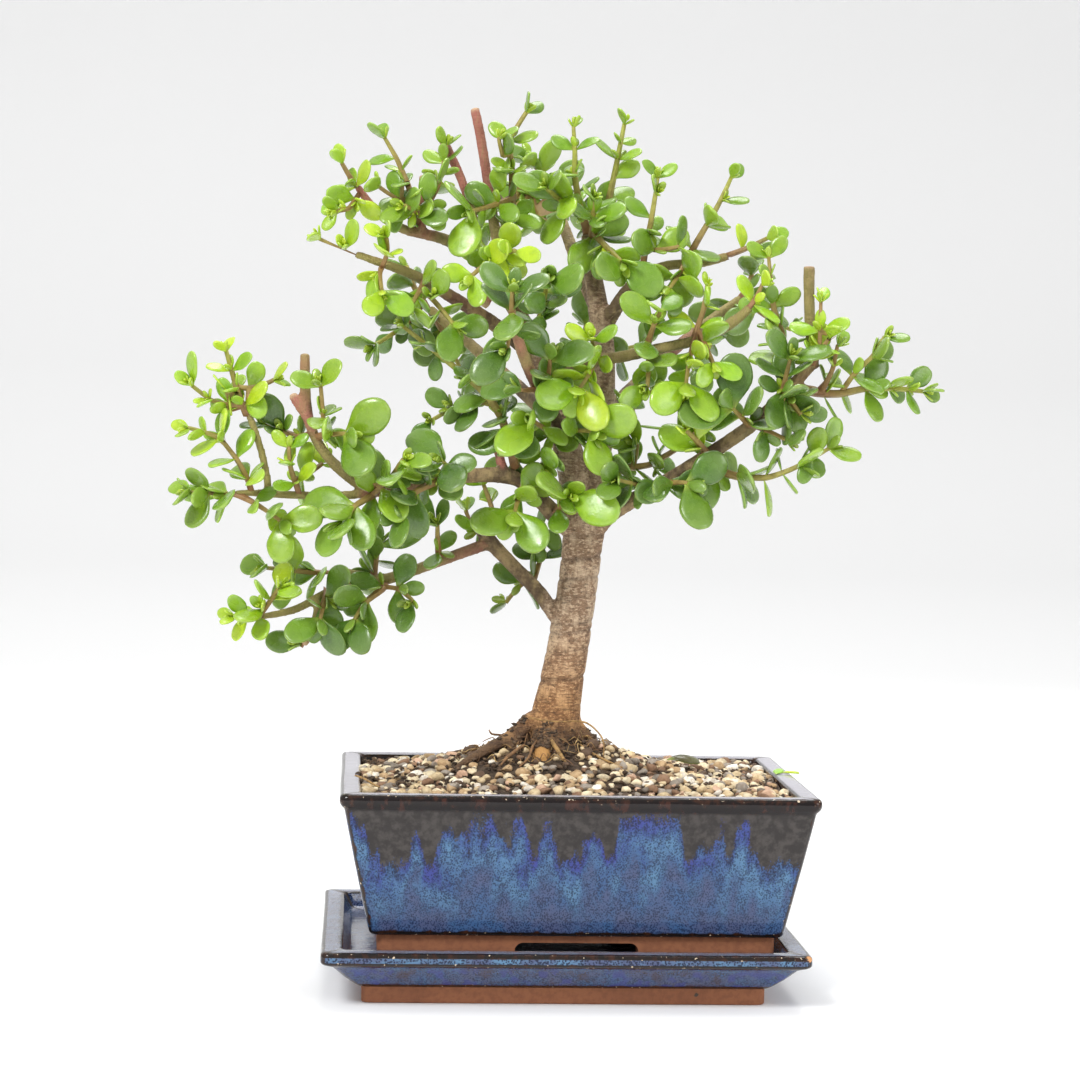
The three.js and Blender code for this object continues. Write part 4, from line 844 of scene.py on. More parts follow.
# Small and broad lumps: waves in a metre, and height in millimetres
SMALL_LUMP_WAVES, SMALL_LUMPS = 420, 0.10
BROAD_LUMP_WAVES, BROAD_LUMPS = 130, 0.16
LIMB_LUMPS = 0.4
BARK_CREAM = (0.620, 0.470, 0.320, 1)
BARK_BROWN = (0.250, 0.150, 0.085, 1)
BARK_DARK = (0.055, 0.032, 0.020, 1)
WARM_TINT = (1.0, 0.74, 0.46, 1)
KNOB_ORANGE = (0.520, 0.270, 0.085, 1)
LIMB_BROWN = (0.335, 0.240, 0.112, 1)
LIMB_DARK = (0.110, 0.070, 0.036, 1)
SHOOT_RED = (0.400, 0.140, 0.105, 1)
SHOOT_OLIVE = (0.300, 0.255, 0.075, 1)
CUT_WOOD = (0.560, 0.380, 0.230, 1)
# Heights in metres between which the trunk's tone warms, earth covers its foot, and shoots turn redder
WARM_HEIGHTS = (0.162, 0.112)
DIRT_HEIGHTS = (0.124, 0.112)
RED_HEIGHTS = (0.30, 0.36)
# Girths in millimetres at which a shoot turns to a limb, and a limb gets the trunk's bark
LIMB_GIRTHS = (3.2, 6.2)
LEADER_GIRTHS = (6.5, 10.5)


def welded(node):
    """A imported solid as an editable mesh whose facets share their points."""
    shell = bmesh.new()
    shell.from_mesh(frame["nodes"][node].data)
    bmesh.ops.remove_doubles(shell, verts=shell.verts, dist=WELD)
    return shell


def merge_flats(shell, angle):
    """Joins faces that are almost in line, and keeps cut ends crisp when the rest is rounded."""
    bmesh.ops.dissolve_limit(shell, angle_limit=math.radians(angle), verts=shell.verts, edges=shell.edges)
    crease = shell.edges.layers.float.new("crease_edge")
    for edge in shell.edges:
        if len(edge.link_faces) == 2 and edge.calc_face_angle() > math.radians(CUT_ANGLE):
            edge[crease] = 1


def round_and_swell(piece, swell):
    """Rounds a piece, and swells it by as many millimetres as the rounding takes off."""
    adjusted(piece.modifiers.new("rounding", "SUBSURF"), levels=2)
    adjusted(piece.modifiers.new("swelling", "DISPLACE"), strength=swell * MM, mid_level=0)


def faded(room, width):
    """One well inside a limit and nothing beyond it, with a fade over a width."""
    return np.clip(room / width, 0, 1)


wood = new_object("bark", frame["nodes"]["trunk_and_limbs"].data.copy())
shell = welded("trunk_and_limbs")
merge_flats(shell, FLAT_ANGLE)
shell.to_mesh(wood.data)
shell.free()
round_and_swell(wood, BARK_SWELL)
adjusted(wood.modifiers.new("fusing", "REMESH"), mode="VOXEL", voxel_size=BARK_VOXEL * MM)
adjusted(wood.modifiers.new("easing", "SMOOTH"), factor=0.5, iterations=3)
applied(wood)
wood.data.shade_smooth()

count = len(wood.data.vertices)
places = np.empty(count * 3)
normals = np.empty(count * 3)
wood.data.vertices.foreach_get("co", places)
wood.data.vertices.foreach_get("normal", normals)
places = places.reshape(-1, 3)
normals = normals.reshape(-1, 3)
cut_share = np.zeros(count)
for cut in CUT_ENDS:
    away = np.linalg.norm(places / MM - np.array(cut), axis=1)
    cut_share = np.maximum(cut_share, faded(CUT_REACH - away, 1))
own_surface = surface_of(wood.data)
stoutness = np.zeros(count)
for index in range(count):
    inward = Vector(-normals[index])
    hit, _, _, through = own_surface.ray_cast(Vector(places[index]) + inward * START_INSIDE * MM, inward)
    stoutness[index] = through / MM if hit else 0
small_lumps = np.array([noise.noise(Vector(place) * SMALL_LUMP_WAVES) for place in places])
broad_lumps = np.array([noise.noise(Vector(place) * BROAD_LUMP_WAVES) for place in places])
sideways = places[:, 0] / MM - np.interp(places[:, 2] / MM, TRUNK_LINE_HEIGHTS, TRUNK_LINE_X)
from_line = np.hypot(sideways, places[:, 1] / MM)
climb = places[:, 2] / MM - TRUNK_LEAN * places[:, 0] / MM
on_trunk = faded(TRUNK_TOP - climb, TRUNK_TOP_FADE) * faded(TRUNK_REACH - from_line, TRUNK_REACH_FADE)
on_root = faded(ROOT_TOP - places[:, 2] / MM, ROOT_TOP_FADE)
on_knob = faded(KNOB_REACH + 1 - np.linalg.norm(places / MM - np.array(ROOT_KNOB), axis=1), KNOB_FADE)
relief = SMALL_LUMPS * small_lumps + BROAD_LUMPS * broad_lumps * (LIMB_LUMPS + on_trunk)
grooves = np.zeros(count)
for height, depth in RING_SCARS:
    groove = np.exp(-(((climb - height - broad_lumps) / RING_WIDTH) ** 2))
    relief -= on_trunk * depth * groove
    grooves = np.maximum(grooves, on_trunk * min(depth * 2, 1) * groove)
places += normals * (relief * (1 - cut_share) * MM)[:, None]
wood.data.vertices.foreach_set("co", places.ravel())
paint(wood, "cut", "FLOAT", cut_share)
paint(wood, "trunk", "FLOAT", np.maximum(on_trunk, on_root))
paint(wood, "stoutness", "FLOAT", stoutness)
paint(wood, "groove", "FLOAT", grooves)
paint(wood, "knob", "FLOAT", on_knob)


def bark_surface(tree):
    place = place_in_frame(tree)
    height = parts_of(place)["Z"]
    girth = painted(tree, "stoutness", "Fac")
    patches = cloud(place, 150.0, 4.0, 0.62, stretch=(1, 1, 0.7))
    fibres = cloud(place, 900.0, 2.0, 0.6, stretch=(1.4, 1.4, 0.22))
    wrinkles = cloud(place, 400.0, 3.0, 0.6, stretch=(0.5, 0.5, 3.2))
    flakes = cloud(place, 520.0, 4.0, 0.7, stretch=(0.9, 0.9, 1.8))
    mottled = mix(between(patches, 0.42, 0.62, 0.05, 0.75), BARK_BROWN, BARK_CREAM)
    flaked = laid_over(mottled, BARK_CREAM, flakes, 0.52, 0.60, 0.85)
    pitted = laid_over(flaked, BARK_DARK, flakes, 0.46, 0.36, 0.72)
    lined = laid_over(pitted, BARK_BROWN, fibres, 0.52, 0.66, 0.5)
    wrinkled = laid_over(lined, BARK_DARK, wrinkles, 0.56, 0.68, 0.55)
    grooved = mix(times(painted(tree, "groove", "Fac"), 0.5), wrinkled, BARK_DARK)
    warm = mix(between(height, *WARM_HEIGHTS), grooved, WARM_TINT, "MULTIPLY")
    uneven_height = plus(height, times(patches, 0.016))
    trunk = laid_over(warm, BARK_DARK, uneven_height, *DIRT_HEIGHTS, within=0.8)
    limb = laid_over(LIMB_DARK, LIMB_BROWN, patches, 0.42, 0.64)
    redness = plus(cloud(place, 26.0), between(height, *RED_HEIGHTS, -0.1, 0.2))
    shoot = laid_over(SHOOT_OLIVE, SHOOT_RED, redness, 0.42, 0.58)
    flecked_shoot = laid_over(shoot, LIMB_BROWN, fibres, 0.5, 0.7, 0.5)
    leader = laid_over(limb, wrinkled, girth, *LEADER_GIRTHS, 0.8)
    branch = laid_over(flecked_shoot, leader, girth, *LIMB_GIRTHS)
    whole = mix(painted(tree, "trunk", "Fac"), branch, trunk)
    knobbed = mix(painted(tree, "knob", "Fac"), whole, KNOB_ORANGE)
    colour = mix(painted(tree, "cut", "Fac"), knobbed, CUT_WOOD)
    skin = plus(plus(flakes, wrinkles), fibres)
    return {"Base Color": colour, "Roughness": 0.7, "Normal": bumped(skin, 0.75, 0.0010)}


only_material(wood.data, new_material("bark", bark_surface))
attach(wood, "root")
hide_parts("trunk_and_limbs")

# Rootlets
# Fine feeding roots have come up round the foot of the trunk: one winds across it and hangs in a loop on the
# right, a few yellow ones dive into the gravel, and many broken fibres lie in the humus.

# Half width and path of each larger one, in millimetres
ROOTLETS = [
    (0.42, [(-14, -10, 114.6), (-8, -14.2, 113.9), (-1, -14.6, 113.4), (6, -11.5, 113.4), (11, -11, 112.6),
            (15, -13, 109.8), (17.6, -16, 106.4), (18.2, -18, 102.4), (17.9, -19, 98.7)]),
    (0.75, [(-16, -17, 103.5), (-20, -22, 101.6), (-24, -27, 99.2), (-27, -31, 96.4)]),
    (0.95, [(-6, -13.5, 107.4), (-4, -19, 104.6), (-1.5, -24, 101), (1, -29, 97.6)]),
    (0.6, [(-10, -15, 106), (-13, -21, 103), (-15, -27, 99), (-19, -32, 96)]),
    (0.6, [(8, -12, 103.5), (12, -17, 101), (18, -21, 98), (26, -24, 95)]),
    (0.5, [(-20, 2, 104), (-25, -1, 105.6), (-29.5, -4, 106.4), (-31, -5, 108.4)]),
    (0.5, [(-88.8, -40, 92.4), (-85, -47, 92), (-81, -54, 90.6), (-78.4, -60, 90.2)]),
    (0.9, [(6, 13, 106), (10, 19, 103), (17, 24, 98), (22, 30, 95)]),
    (0.8, [(-12, 12, 105), (-17, 19, 102), (-20, 27, 97), (-28, 33, 94)]),
]
ROOTLET_TONES = [(0.42, 0.25, 0.09), (0.30, 0.16, 0.07), (0.20, 0.10, 0.05), (0.50, 0.33, 0.14)]
FIBRES = 170
FIBRE_SEED = 12
FIBRE_HALF = (0.12, 0.28)
# Nearest, farthest and most usual distance of a fibre from the trunk's middle
FIBRE_REACH = (11, 38, 16)
FIBRE_OVAL = 0.9
FIBRE_POINTS = 4
FIBRE_LIFT = 0.5
FIBRE_RISE = 3.2
FIBRE_STEPS = (1.4, 3.6)
FIBRE_BEND = 0.9
STRAND_SIDES = 6
STRAND_STEPS = 4
GIRTHS = (0.85, 1.15)
# The part of a half wave that a strand's girth follows, and the girth where that is nothing
TAPER_FROM, TAPER_OVER = 0.1, 0.85
THIN_END = 0.45


def smooth_path(path, steps):
    """The path with points added on smooth curves through its own."""
    points = [Vector(point) for point in path]
    ends = [2 * points[0] - points[1]] + points + [2 * points[-1] - points[-2]]
    fine = []
    for i in range(1, len(ends) - 2):
        before, start, end, after = ends[i - 1:i + 3]
        for step in range(steps):
            t = step / steps
            slope = (end - before) * t + (2 * before - 5 * start + 4 * end - after) * t * t
            fine.append(start + 0.5 * (slope + (3 * start - before - 3 * end + after) * t ** 3))
    return fine + [points[-1]]


def tube_faces(rings, sides):
    """The faces between rings of points, and over the first ring."""
    faces = []
    for low in range(0, (rings - 1) * sides, sides):
        for k in range(sides):
            following = (k + 1) % sides
            faces.append((low + k, low + following, low + sides + following, low + sides + k))
    return faces, tuple(range(sides - 1, -1, -1))


def strand(path, half, draw):
    """Points and faces of a thin root that tapers at both ends."""
    line = smooth_path(path, STRAND_STEPS)
    points = []
    for i, point in enumerate(line):
        heading = line[min(i + 1, len(line) - 1)] - line[max(i - 1, 0)]
        turn = heading.to_track_quat("Z", "Y")
        fullness = math.sin(math.pi * (TAPER_FROM + TAPER_OVER * i / (len(line) - 1)))
        taper = THIN_END + (1 - THIN_END) * fullness
        for k in range(STRAND_SIDES):
            angle = 2 * math.pi * k / STRAND_SIDES
            girth = half * taper * draw.uniform(*GIRTHS)
            points.append((point + turn @ Vector((math.cos(angle), math.sin(angle), 0)) * girth) * MM)
    faces, first = tube_faces(len(line), STRAND_SIDES)
    last = tuple(range(len(points) - STRAND_SIDES, len(points)))
    return points, faces + [first, last]


def fibre_path(draw):
    """A short curved path that lies on the humus near the trunk, or None beyond the soil."""
    turn = draw.uniform(0, 2 * math.pi)
    away = draw.triangular(*FIBRE_REACH)
    x = TRUNK_FOOT[0] + away * math.cos(turn)
    y = TRUNK_FOOT[1] + FIBRE_OVAL * away * math.sin(turn)
    heading = draw.uniform(0, 2 * math.pi)
    path = []
    for _ in range(FIBRE_POINTS):
        hit = dropped(soil_surface, x, y, ABOVE_SOIL)
        if not hit:
            return None
        path.append((x, y, hit.z / MM + FIBRE_LIFT + draw.uniform(0, FIBRE_RISE)))
        reach = draw.uniform(*FIBRE_STEPS)
        heading += draw.uniform(-FIBRE_BEND, FIBRE_BEND)
        x += reach * math.cos(heading)
        y += reach * math.sin(heading)
    return path


def add_mesh(points, faces, more_points, more_faces):
    """Adds a small mesh to the lists of a larger one."""
    faces += [tuple(len(points) + index for index in face) for face in more_faces]
    points += more_points


draw = random.Random(FIBRE_SEED)
strands = [(path, half, ROOTLET_TONES[i % 2]) for i, (half, path) in enumerate(ROOTLETS)]
for _ in range(FIBRES):
    path = fibre_path(draw)
    if path:
        strands.append((path, draw.uniform(*FIBRE_HALF), draw.choice(ROOTLET_TONES)))
points, faces, tones = [], [], []
for path, half, tone in strands:
    strand_points, strand_faces = strand(path, half, draw)
    add_mesh(points, faces, strand_points, strand_faces)
    tones += [(*tone, 1)] * len(strand_points)
rootlet_surface = rough_surface(
    fineness=500.0, amount=0.6, roughness=0.8, relief=0.4, depth=0.0005, spots=BARK_DARK,
)
rootlets = mesh_piece("rootlets", points, faces, [new_material("rootlet", rootlet_surface)])
paint(rootlets, "tone", "FLOAT_COLOR", tones)
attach(rootlets, "root")

# Leafy shoots
# Thin stems, brown where they leave the wood and green at their tips, carry fleshy leaves in pairs, each pair
# turned a quarter from the last. A leaf is round-ended, half a centimetre long at the tips and up to two
# below, with a thin paler rim. Small new leaves stand at the tips and in the forks of the pairs.

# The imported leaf, in shares of its length: where it is widest and where it ends, its half width and its
# thickness, with the least thickness in metres. Its end has a share of its width.
BLADE_AT, END_AT = 0.57, 0.97
BLADE_HALF_WIDTH = 0.38
END_SHARE = 0.48
BLADE_THICKNESS, BLADE_THINNEST = 0.11, 0.0011
UPPER_SHARE = 0.6
# What is taken for such a leaf, with its lengths and the reach of one point in metres
BLADE_SHORTEST, BLADE_LONGEST = 0.004, 0.032
LIKENESS = 0.02
SAME_POINT = 5e-5
TAKEN_POINT = 6e-5
SAME_ROOT = 0.0006
# The fine leaf: where its rings of points lie along it, and how many points each has
LEAF_STATIONS = [0.0, 0.07, 0.15, 0.25, 0.36, 0.47, 0.57, 0.67, 0.76, 0.84, 0.905, 0.95, 0.98]
LEAF_SIDES = 12
SMALL_LEAF = 0.0085
SMALL_STATIONS = [0.0, 0.12, 0.28, 0.46, 0.62, 0.78, 0.90, 0.97]
SMALL_SIDES = 8
SLIM_LEAF, FULL_LEAF = 0.008, 0.016
SLIM_WIDTH, FULL_WIDTH = 0.68, 0.88
NARROW_FOOT = 0.10
FOOT_CURVE, END_CURVE = 1.55, 0.92
THIN_FOOT, THICK_FROM = 0.55, 0.4
EDGE_FULLNESS = 1.25
CUSHION = 0.8
CURL_CUP = 1.2
WIDTHS = (0.92, 1.05)
THICKNESSES = (0.9, 1.15)
BENDS = (-0.22, 0.16)
CUPS = (-0.10, 0.24)
SKEWS = (-0.08, 0.08)
BEND_FROM = 0.3

TONES = {
    "leaf_lime": [(0.215, 0.410, 0.012), (0.300, 0.490, 0.014), (0.450, 0.590, 0.018)],
    "leaf_mid": [(0.162, 0.305, 0.012), (0.255, 0.415, 0.014), (0.112, 0.225, 0.012)],
    "leaf_dark": [(0.086, 0.178, 0.016), (0.145, 0.270, 0.020), (0.062, 0.136, 0.015)],
}
YOUNG_TONE = (0.520, 0.620, 0.020)
YOUNG_LENGTH, YOUNG_FADE, YOUNG_SHARE = 0.010, 0.006, 0.6
LIGHTNESSES = (0.85, 1.15)
LEAF_DEEPER = (0.62, 0.72, 0.60, 1)
LEAF_LIT = (0.50, 0.62, 0.26, 1)
LEAF_PALE = (0.36, 0.50, 0.12, 1)
LEAF_RIM = (0.42, 0.54, 0.12, 1)
LEAF_FOOT = (0.34, 0.42, 0.06, 1)
STEM_OLD = (0.2725, 0.1300, 0.0560)
STEM_GREEN = (0.330, 0.345, 0.052)
STEM_GREEN_FROM = 0.030
STEM_DARKER = (0.55, 0.48, 0.42, 1)
STEM_SWELL = 0.12
STEM_FLAT_ANGLE = 3
SEATED = 0.0009
SEAT_DEPTH = 0.0016
# The tuft of new leaves at a tip: how far each pair spreads, its size and how far on it stands
TIP_TUFT = [(0.65, 0.55, 0.0), (0.35, 0.34, 0.0016), (0.2, 0.2, 0.0024)]
TIP_LOOK, TIP_CLEAR = 0.006, 0.004
FORK_CHANCE, SECOND_CHANCE = 0.8, 0.4
FORK_SPREADS, FORK_SIZES, FORK_STEP = (0.7, 1.3), (0.42, 0.75), 0.0004
SECOND_SPREAD, SECOND_SIZES, SECOND_STEP = 0.5, (0.2, 0.34), 0.001
NEW_SIZES = (0.85, 1.15)
NEW_SHAKE = 0.25
# The way on from a leaf that has no partner, in shares along it and up from it
LONE_WAY = (0.7, 0.6)
SMALLEST = 0.003
# Pairs between the forks: their distance from other leaves and from the wood, and how they stand
BETWEEN_GAP = 0.0060
BETWEEN_STEP = 5
WOOD_GAP = 0.003
STEM_NEAR = 0.0028
STEM_LOOK = 0.004
BETWEEN_SIZES, BETWEEN_SPREAD = (0.62, 0.95), (0.85, 1.1)
BETWEEN_LEAN = (0.2, 0.7)
BETWEEN_SHAKE = 0.3
IN_LINE = 0.1
TIP_ROOM = 0.002
FALLEN_CURL = {"fallen_dark_leaf": -0.45, "fallen_lime_leaf": 0.05}
FALLEN_LIFT = {"fallen_dark_leaf": 0.0040}
FALLEN_TONES = {"fallen_dark_leaf": (0.080, 0.068, 0.022), "fallen_lime_leaf": (0.330, 0.600, 0.060)}


def point_tree(points):
    """A tree for finding the points nearest to a place."""
    tree = kdtree.KDTree(len(points))
    for index, point in enumerate(points):
        tree.insert(point, index)
    tree.balance()
    return tree


def blades_of(shell, corners):
    """Each leaf of a packed spray as (root, along, across, up, length), found by its blade and end points."""
    reach_share = math.hypot(END_AT - BLADE_AT, BLADE_HALF_WIDTH * (1 - END_SHARE))
    blades = []
    for edge in shell.edges:
        first, second = (corner.co for corner in edge.verts)
        length = (first - second).length / (2 * BLADE_HALF_WIDTH * END_SHARE)
        if not BLADE_SHORTEST < length < BLADE_LONGEST:
            continue
        reach = length * reach_share
        for side, _, distance in corners.find_range(first, reach * (1 + LIKENESS)):
            if distance < reach * (1 - LIKENESS):
                continue
            other, _, gap = corners.find(side - (first - second) / END_SHARE)
            middle = (side + other) / 2
            along = (first + second) / 2 - middle
            square = abs(along.normalized().dot((first - second).normalized())) < LIKENESS
            alike = abs(along.length / length / (END_AT - BLADE_AT) - 1) < LIKENESS
            if gap < SAME_POINT and square and alike:
                along = along.normalized()
                across = (side - other).normalized()
                up = along.cross(across)
                rise = UPPER_SHARE * max(BLADE_THICKNESS * length, BLADE_THINNEST)
                if corners.find(middle + up * rise)[2] > corners.find(middle - up * rise)[2]:
                    up = -up
                    across = -across
                blades.append((middle - along * BLADE_AT * length, along, across, up, length))
                break
    return blades


def bare_stem(shell, blades, corners):
    """The stem of a packed spray: its leaves' points are taken off, and what is left is rounded."""
    gone = set()
    for root, along, across, up, length in blades:
        thickness = max(BLADE_THICKNESS * length, BLADE_THINNEST)
        half = across * BLADE_HALF_WIDTH * length
        middle = root + along * BLADE_AT * length
        end = root + along * END_AT * length
        leaf_corners = [middle + half, middle - half, end + half * END_SHARE, end - half * END_SHARE]
        leaf_corners.append(middle + up * UPPER_SHARE * thickness)
        leaf_corners.append(middle - up * (1 - UPPER_SHARE) * thickness)
        for point in leaf_corners:
            _, index, gap = corners.find(point)
            if gap < TAKEN_POINT:
                gone.add(index)
    bmesh.ops.delete(shell, geom=[shell.verts[index] for index in gone], context="VERTS")
    open_edges = [edge for edge in shell.edges if edge.is_boundary]
    bmesh.ops.holes_fill(shell, edges=open_edges, sides=0)
    loose = [corner for corner in shell.verts if not corner.link_faces]
    bmesh.ops.delete(shell, geom=loose, context="VERTS")
    merge_flats(shell, STEM_FLAT_ANGLE)
    for corner in shell.verts:
        seat, _, _, away = wood_surface.find_nearest(corner.co)
        if away < SEATED:
            corner.co += (seat - corner.co).normalized() * SEAT_DEPTH
    stem = mesh_piece("stem", [], [], [])
    shell.to_mesh(stem.data)
    round_and_swell(stem, STEM_SWELL)
    applied(stem)
    points = [v.co.copy() for v in stem.data.vertices]
    faces = [tuple(p.vertices) for p in stem.data.polygons]
    bpy.data.objects.remove(stem)
    return points, faces


def leaf_width(t):
    """A leaf's half width at a share of its length: a wedge from the foot, then a round end."""
    if t < BLADE_AT:
        return NARROW_FOOT + (1 - NARROW_FOOT) * math.sin(math.pi / 2 * t / BLADE_AT) ** FOOT_CURVE
    return math.sqrt(max(1 - ((t - BLADE_AT) / (1 - BLADE_AT)) ** 2, 0)) ** END_CURVE


def fine_leaf(blade, draw, curl=None):
    """Points, faces and (t, s, side) of one leaf, in its place, slightly bent and cupped."""
    root, along, across, up, length = blade
    stations = LEAF_STATIONS if length > SMALL_LEAF else SMALL_STATIONS
    sides = LEAF_SIDES if length > SMALL_LEAF else SMALL_SIDES
    fullness = min(max((length - SLIM_LEAF) / (FULL_LEAF - SLIM_LEAF), 0), 1)
    broadness = SLIM_WIDTH + (FULL_WIDTH - SLIM_WIDTH) * fullness
    half = BLADE_HALF_WIDTH * length * broadness * draw.uniform(*WIDTHS)
    thickness = max(BLADE_THICKNESS * length, BLADE_THINNEST * min(length / SLIM_LEAF, 1))
    thickness *= draw.uniform(*THICKNESSES)
    bend = (draw.uniform(*BENDS) if curl is None else curl) * length
    cup = (draw.uniform(*CUPS) if curl is None else CURL_CUP * curl) * half
    skew = draw.uniform(*SKEWS) * half
    points, marks = [], []
    for t in stations:
        width = leaf_width(t) * half
        swell = THIN_FOOT + (1 - THIN_FOOT) * min(t / THICK_FROM, 1)
        swell *= min(1, EDGE_FULLNESS * math.sqrt(leaf_width(t)))
        rise = bend * (t - BEND_FROM) ** 2
        for k in range(sides):
            angle = 2 * math.pi * k / sides
            s = math.cos(angle)
            side = math.sin(angle)
            depth = 0.5 * thickness * swell * math.copysign(abs(side) ** CUSHION, side)
            lift = rise + cup * s * s * leaf_width(t) + depth
            points.append(root + along * (t * length) + across * (s * width + skew * t * t) + up * lift)
            marks.append((t, s, side))
    faces, foot = tube_faces(len(stations), sides)
    tip = len(points)
    faces += [(tip - sides + k, tip - sides + (k + 1) % sides, tip) for k in range(sides)]
    points.append(root + along * length + across * skew + up * (bend * (1 - BEND_FROM) ** 2))
    marks.append((1, 0, 0))
    return points, faces + [foot], marks


def blade_facing(root, way, up, length):
    """A leaf at a root, pointing one way, with its upper side turned as far up as that lets it."""
    face = (up - way * up.dot(way)).normalized()
    return root, way, face.cross(way), face, max(length, SMALLEST)


def shaken(draw, most):
    return Vector([draw.uniform(-most, most) for _ in range(3)])


def small_leaves(blades, draw, stem_tree):
    """New leaves: a tuft beyond each last pair, and small pairs in many of the forks."""
    extra = []
    seen = []
    for root, along, across, up, length in blades:
        if any((root - other).length < SAME_ROOT for other in seen):
            continue
        seen.append(root)
        fork = [other[1] for other in blades if (other[0] - root).length < SAME_ROOT]
        partners = [way for way in fork if way is not along]
        if partners:
            forward = (along + partners[0]).normalized()
        else:
            forward = (along * LONE_WAY[0] + up * LONE_WAY[1]).normalized()
        outward = (along - forward * along.dot(forward)).normalized()
        crosswise = forward.cross(outward)
        pairs = []
        if stem_tree.find(root + forward * TIP_LOOK)[2] > TIP_CLEAR:
            pairs = [(aside, *pair) for aside, pair in zip((crosswise, outward, crosswise), TIP_TUFT)]
        elif draw.random() < FORK_CHANCE:
            pairs.append((crosswise, draw.uniform(*FORK_SPREADS), draw.uniform(*FORK_SIZES), FORK_STEP))
            if draw.random() < SECOND_CHANCE:
                pairs.append((outward, SECOND_SPREAD, draw.uniform(*SECOND_SIZES), SECOND_STEP))
        for aside, spread, share, step in pairs:
            for sign in (-1, 1):
                way = (forward + aside * spread * sign + shaken(draw, NEW_SHAKE)).normalized()
                size = share * length * draw.uniform(*NEW_SIZES)
                extra.append(blade_facing(root + forward * step, way, forward, size))
    return extra


def pairs_between(blades, draw, stem_points, stem_tree):
    """Further pairs of leaves on the stretches of stem that lie between the forks."""
    extra = []
    taken = [blade[0] for blade in blades]
    order = list(range(0, len(stem_points), BETWEEN_STEP))
    draw.shuffle(order)
    for index in order:
        place = stem_points[index]
        if min((place - other).length for other in taken) < BETWEEN_GAP:
            continue
        if wood_surface.find_nearest(place)[3] < WOOD_GAP:
            continue
        near = np.array([co for co, _, _ in stem_tree.find_range(place, STEM_NEAR)])
        middle = Vector(near.mean(axis=0))
        line = Vector(np.linalg.svd(near - near.mean(axis=0))[2][0]).normalized()
        outer = wood_surface.find_nearest(middle + line * STEM_LOOK)[3]
        inner = wood_surface.find_nearest(middle - line * STEM_LOOK)[3]
        if outer < inner:
            line = -line
        nearest = min(blades, key=lambda blade: (blade[0] - middle).length)
        aside = nearest[1] - line * nearest[1].dot(line)
        aside = (line.cross(aside) if aside.length > IN_LINE else line.orthogonal()).normalized()
        taken.append(place)
        size = nearest[4] * draw.uniform(*BETWEEN_SIZES)
        for sign in (-1, 1):
            shake = shaken(draw, BETWEEN_SHAKE)
            way = (line * draw.uniform(*BETWEEN_LEAN) + aside * sign + shake).normalized()
            extra.append(blade_facing(middle, way, line, size * draw.uniform(*BETWEEN_SPREAD)))
    return extra


def inside_tree(blade):
    """Whether a further leaf stays within the tree's own length, width and height."""
    root, along, across, up, length = blade
    low, high = solids_box
    broadest = root + along * (BLADE_AT * length)
    half = across * (BLADE_HALF_WIDTH * length)
    outer = (root + along * length, broadest + half, broadest - half)
    inside = [low[i] + TIP_ROOM < point[i] < high[i] - TIP_ROOM for point in outer for i in range(3)]
    return all(inside)


def leaf_surface(tree):
    place = place_in_frame(tree)
    tone = painted(tree, "tone", "Color")
    mark = parts_of(painted(tree, "leaf_place", "Vector"))
    t, s, side = (mark[name] for name in "XYZ")
    deeper = mix(1.0, tone, LEAF_DEEPER, "MULTIPLY")
    lit = mix(0.35, tone, LEAF_LIT)
    paler = mix(0.25, tone, LEAF_PALE)
    flesh = grained(tree, tone, deeper, fineness=210.0, amount=0.6)["Color"]
    pored = laid_over(flesh, lit, dots(place, 1500.0), 0.30, 0.12, 0.5)
    outer = laid_over(pored, lit, t, 0.45, 0.95, 0.3)
    two_sided = laid_over(outer, paler, side, 0.05, -0.2, 0.6)
    at_side = between(maths("ABSOLUTE", s), 0.93, 1.0)
    rim = maths("MAXIMUM", at_side, between(t, 0.965, 1.0))
    rimmed = mix(times(rim, 0.38), two_sided, LEAF_RIM)
    colour = laid_over(rimmed, LEAF_FOOT, t, 0.24, 0.05, 0.6)
    pores = cloud(place, 1500.0, 1.0)
    swells = cloud(place, 240.0, 2.0)
    height = plus(swells, times(pores, 0.25))
    return {
        "Base Color": colour,
        "Roughness": between(cloud(place, 160.0), 0.3, 0.7, 0.20, 0.36),
        "Subsurface Weight": 0.12,
        "Subsurface Radius": (0.6, 1.0, 0.2),
        "Subsurface Scale": 0.0018,
        "Coat Weight": 0.15,
        "Coat Roughness": 0.2,
        "Normal": bumped(height, 0.22, 0.0008),
    }


stem_surface = rough_surface(
    fineness=420.0, amount=0.6, roughness=0.55, relief=0.4, depth=0.0005, tint=STEM_DARKER,
)
leaf_material = new_material("leaf", leaf_surface)
stem_material = new_material("young_stem", stem_surface)


def blended(first, second, share):
    """A colour between two others."""
    return [a + (b - a) * share for a, b in zip(first, second)]


def leaf_tone(slot_name, length, draw):
    """A leaf's own green, yellower the younger it is."""
    first, second = draw.sample(TONES[slot_name], 2)
    grown = blended(first, second, draw.random())
    light = draw.uniform(*LIGHTNESSES)
    youth = min(max((YOUNG_LENGTH - length) / YOUNG_FADE, 0), 1) * YOUNG_SHARE
    return blended([channel * light for channel in grown], YOUNG_TONE, youth)


def leaf_piece(name, points, faces, tones, marks, materials):
    """A piece of leaves or of leaves and stems, with the tone and the place on its leaf of each point."""
    piece = mesh_piece(name, points, faces, materials)
    paint(piece, "tone", "FLOAT_COLOR", [(*tone, 1) for tone in tones])
    paint(piece, "leaf_place", "FLOAT_VECTOR", marks)
    return piece


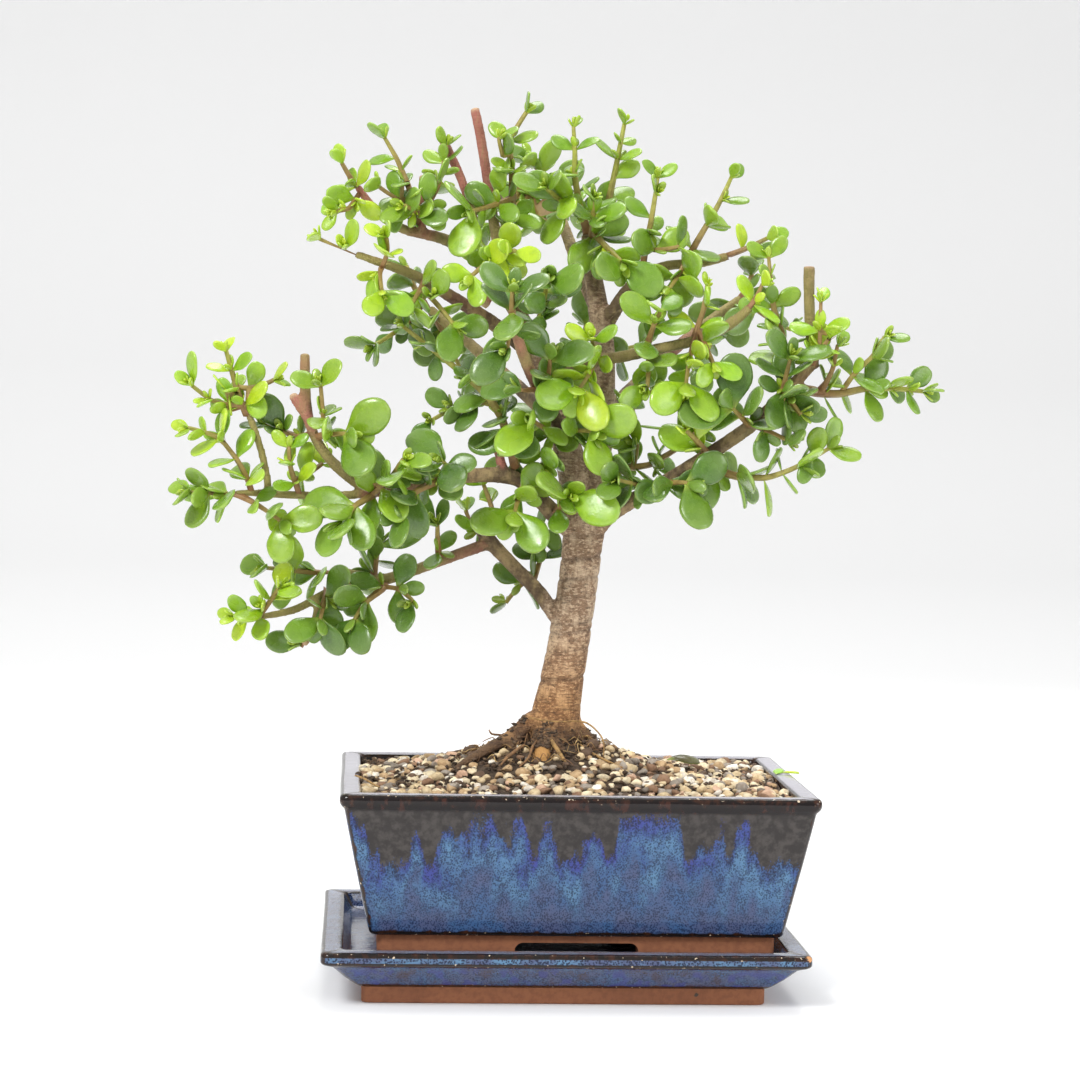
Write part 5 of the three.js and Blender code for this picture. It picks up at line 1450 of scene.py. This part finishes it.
def leafy_piece(node, slot_name):
    """The fine piece that stands for a packed spray or a fallen leaf."""
    draw = random.Random(node)
    shell = welded(node)
    shell.verts.ensure_lookup_table()
    corners = point_tree([corner.co for corner in shell.verts])
    blades = blades_of(shell, corners)
    points, faces, marks, tones, slots = [], [], [], [], []
    if not node.startswith("fallen"):
        points, faces = bare_stem(shell, blades, corners)
        for point in points:
            age = min(wood_surface.find_nearest(point)[3] / STEM_GREEN_FROM, 1)
            tones.append(blended(STEM_OLD, STEM_GREEN, age))
        marks += [(0, 0, 0)] * len(points)
        slots += [1] * len(faces)
        stem_tree = point_tree(points)
        further = pairs_between(blades, draw, points, stem_tree) + small_leaves(blades, draw, stem_tree)
        blades += [blade for blade in further if inside_tree(blade)]
    shell.free()
    lift = Vector((0, 0, FALLEN_LIFT.get(node, 0)))
    for blade in blades:
        leaf_points, leaf_faces, leaf_marks = fine_leaf(blade, draw, FALLEN_CURL.get(node))
        add_mesh(points, faces, [point + lift for point in leaf_points], leaf_faces)
        marks += leaf_marks
        slots += [0] * len(leaf_faces)
        tone = leaf_tone(slot_name, blade[4], draw)
        tones += [FALLEN_TONES.get(node, tone)] * len(leaf_points)
    piece = leaf_piece(node + "_leaves", points, faces, tones, marks, [leaf_material, stem_material])
    piece.data.polygons.foreach_set("material_index", slots)
    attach(piece, "root")
    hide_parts(node)


slot_of = {part["node"]: part["material_slot"] for part in frame["record"]["subparts"]}
for node in sorted(frame["nodes"]):
    if slot_of[node].startswith("leaf"):
        leafy_piece(node, slot_of[node])

# Scraps of leaf
# A new leaf that has dropped over the pot's lip, and a torn bit of green between the pebbles in front. Both
# are the plant's own, and lie loose.
SCRAP_GREEN = (0.080, 0.190, 0.020)
# Root in millimetres, where each points, its upper side, its length in metres and its tone
SCRAPS = [
    ((99.8, 9.0, 89.5), (1, 0.16, 0.02), (0, 0, 1), 0.0085, YOUNG_TONE),
    ((2.4, -46.0, 89.3), (1, 0.3, 0.1), (0, -0.7, 0.7), 0.0050, SCRAP_GREEN),
]

draw = random.Random("scraps")
points, faces, marks, tones = [], [], [], []
for root, way, up, length, tone in SCRAPS:
    blade = blade_facing(Vector(root) * MM, Vector(way).normalized(), Vector(up), length)
    scrap_points, scrap_faces, scrap_marks = fine_leaf(blade, draw)
    add_mesh(points, faces, scrap_points, scrap_faces)
    marks += scrap_marks
    tones += [tone] * len(scrap_points)
scraps = leaf_piece("leaf_scraps", points, faces, tones, marks, [leaf_material])
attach(scraps, "root")
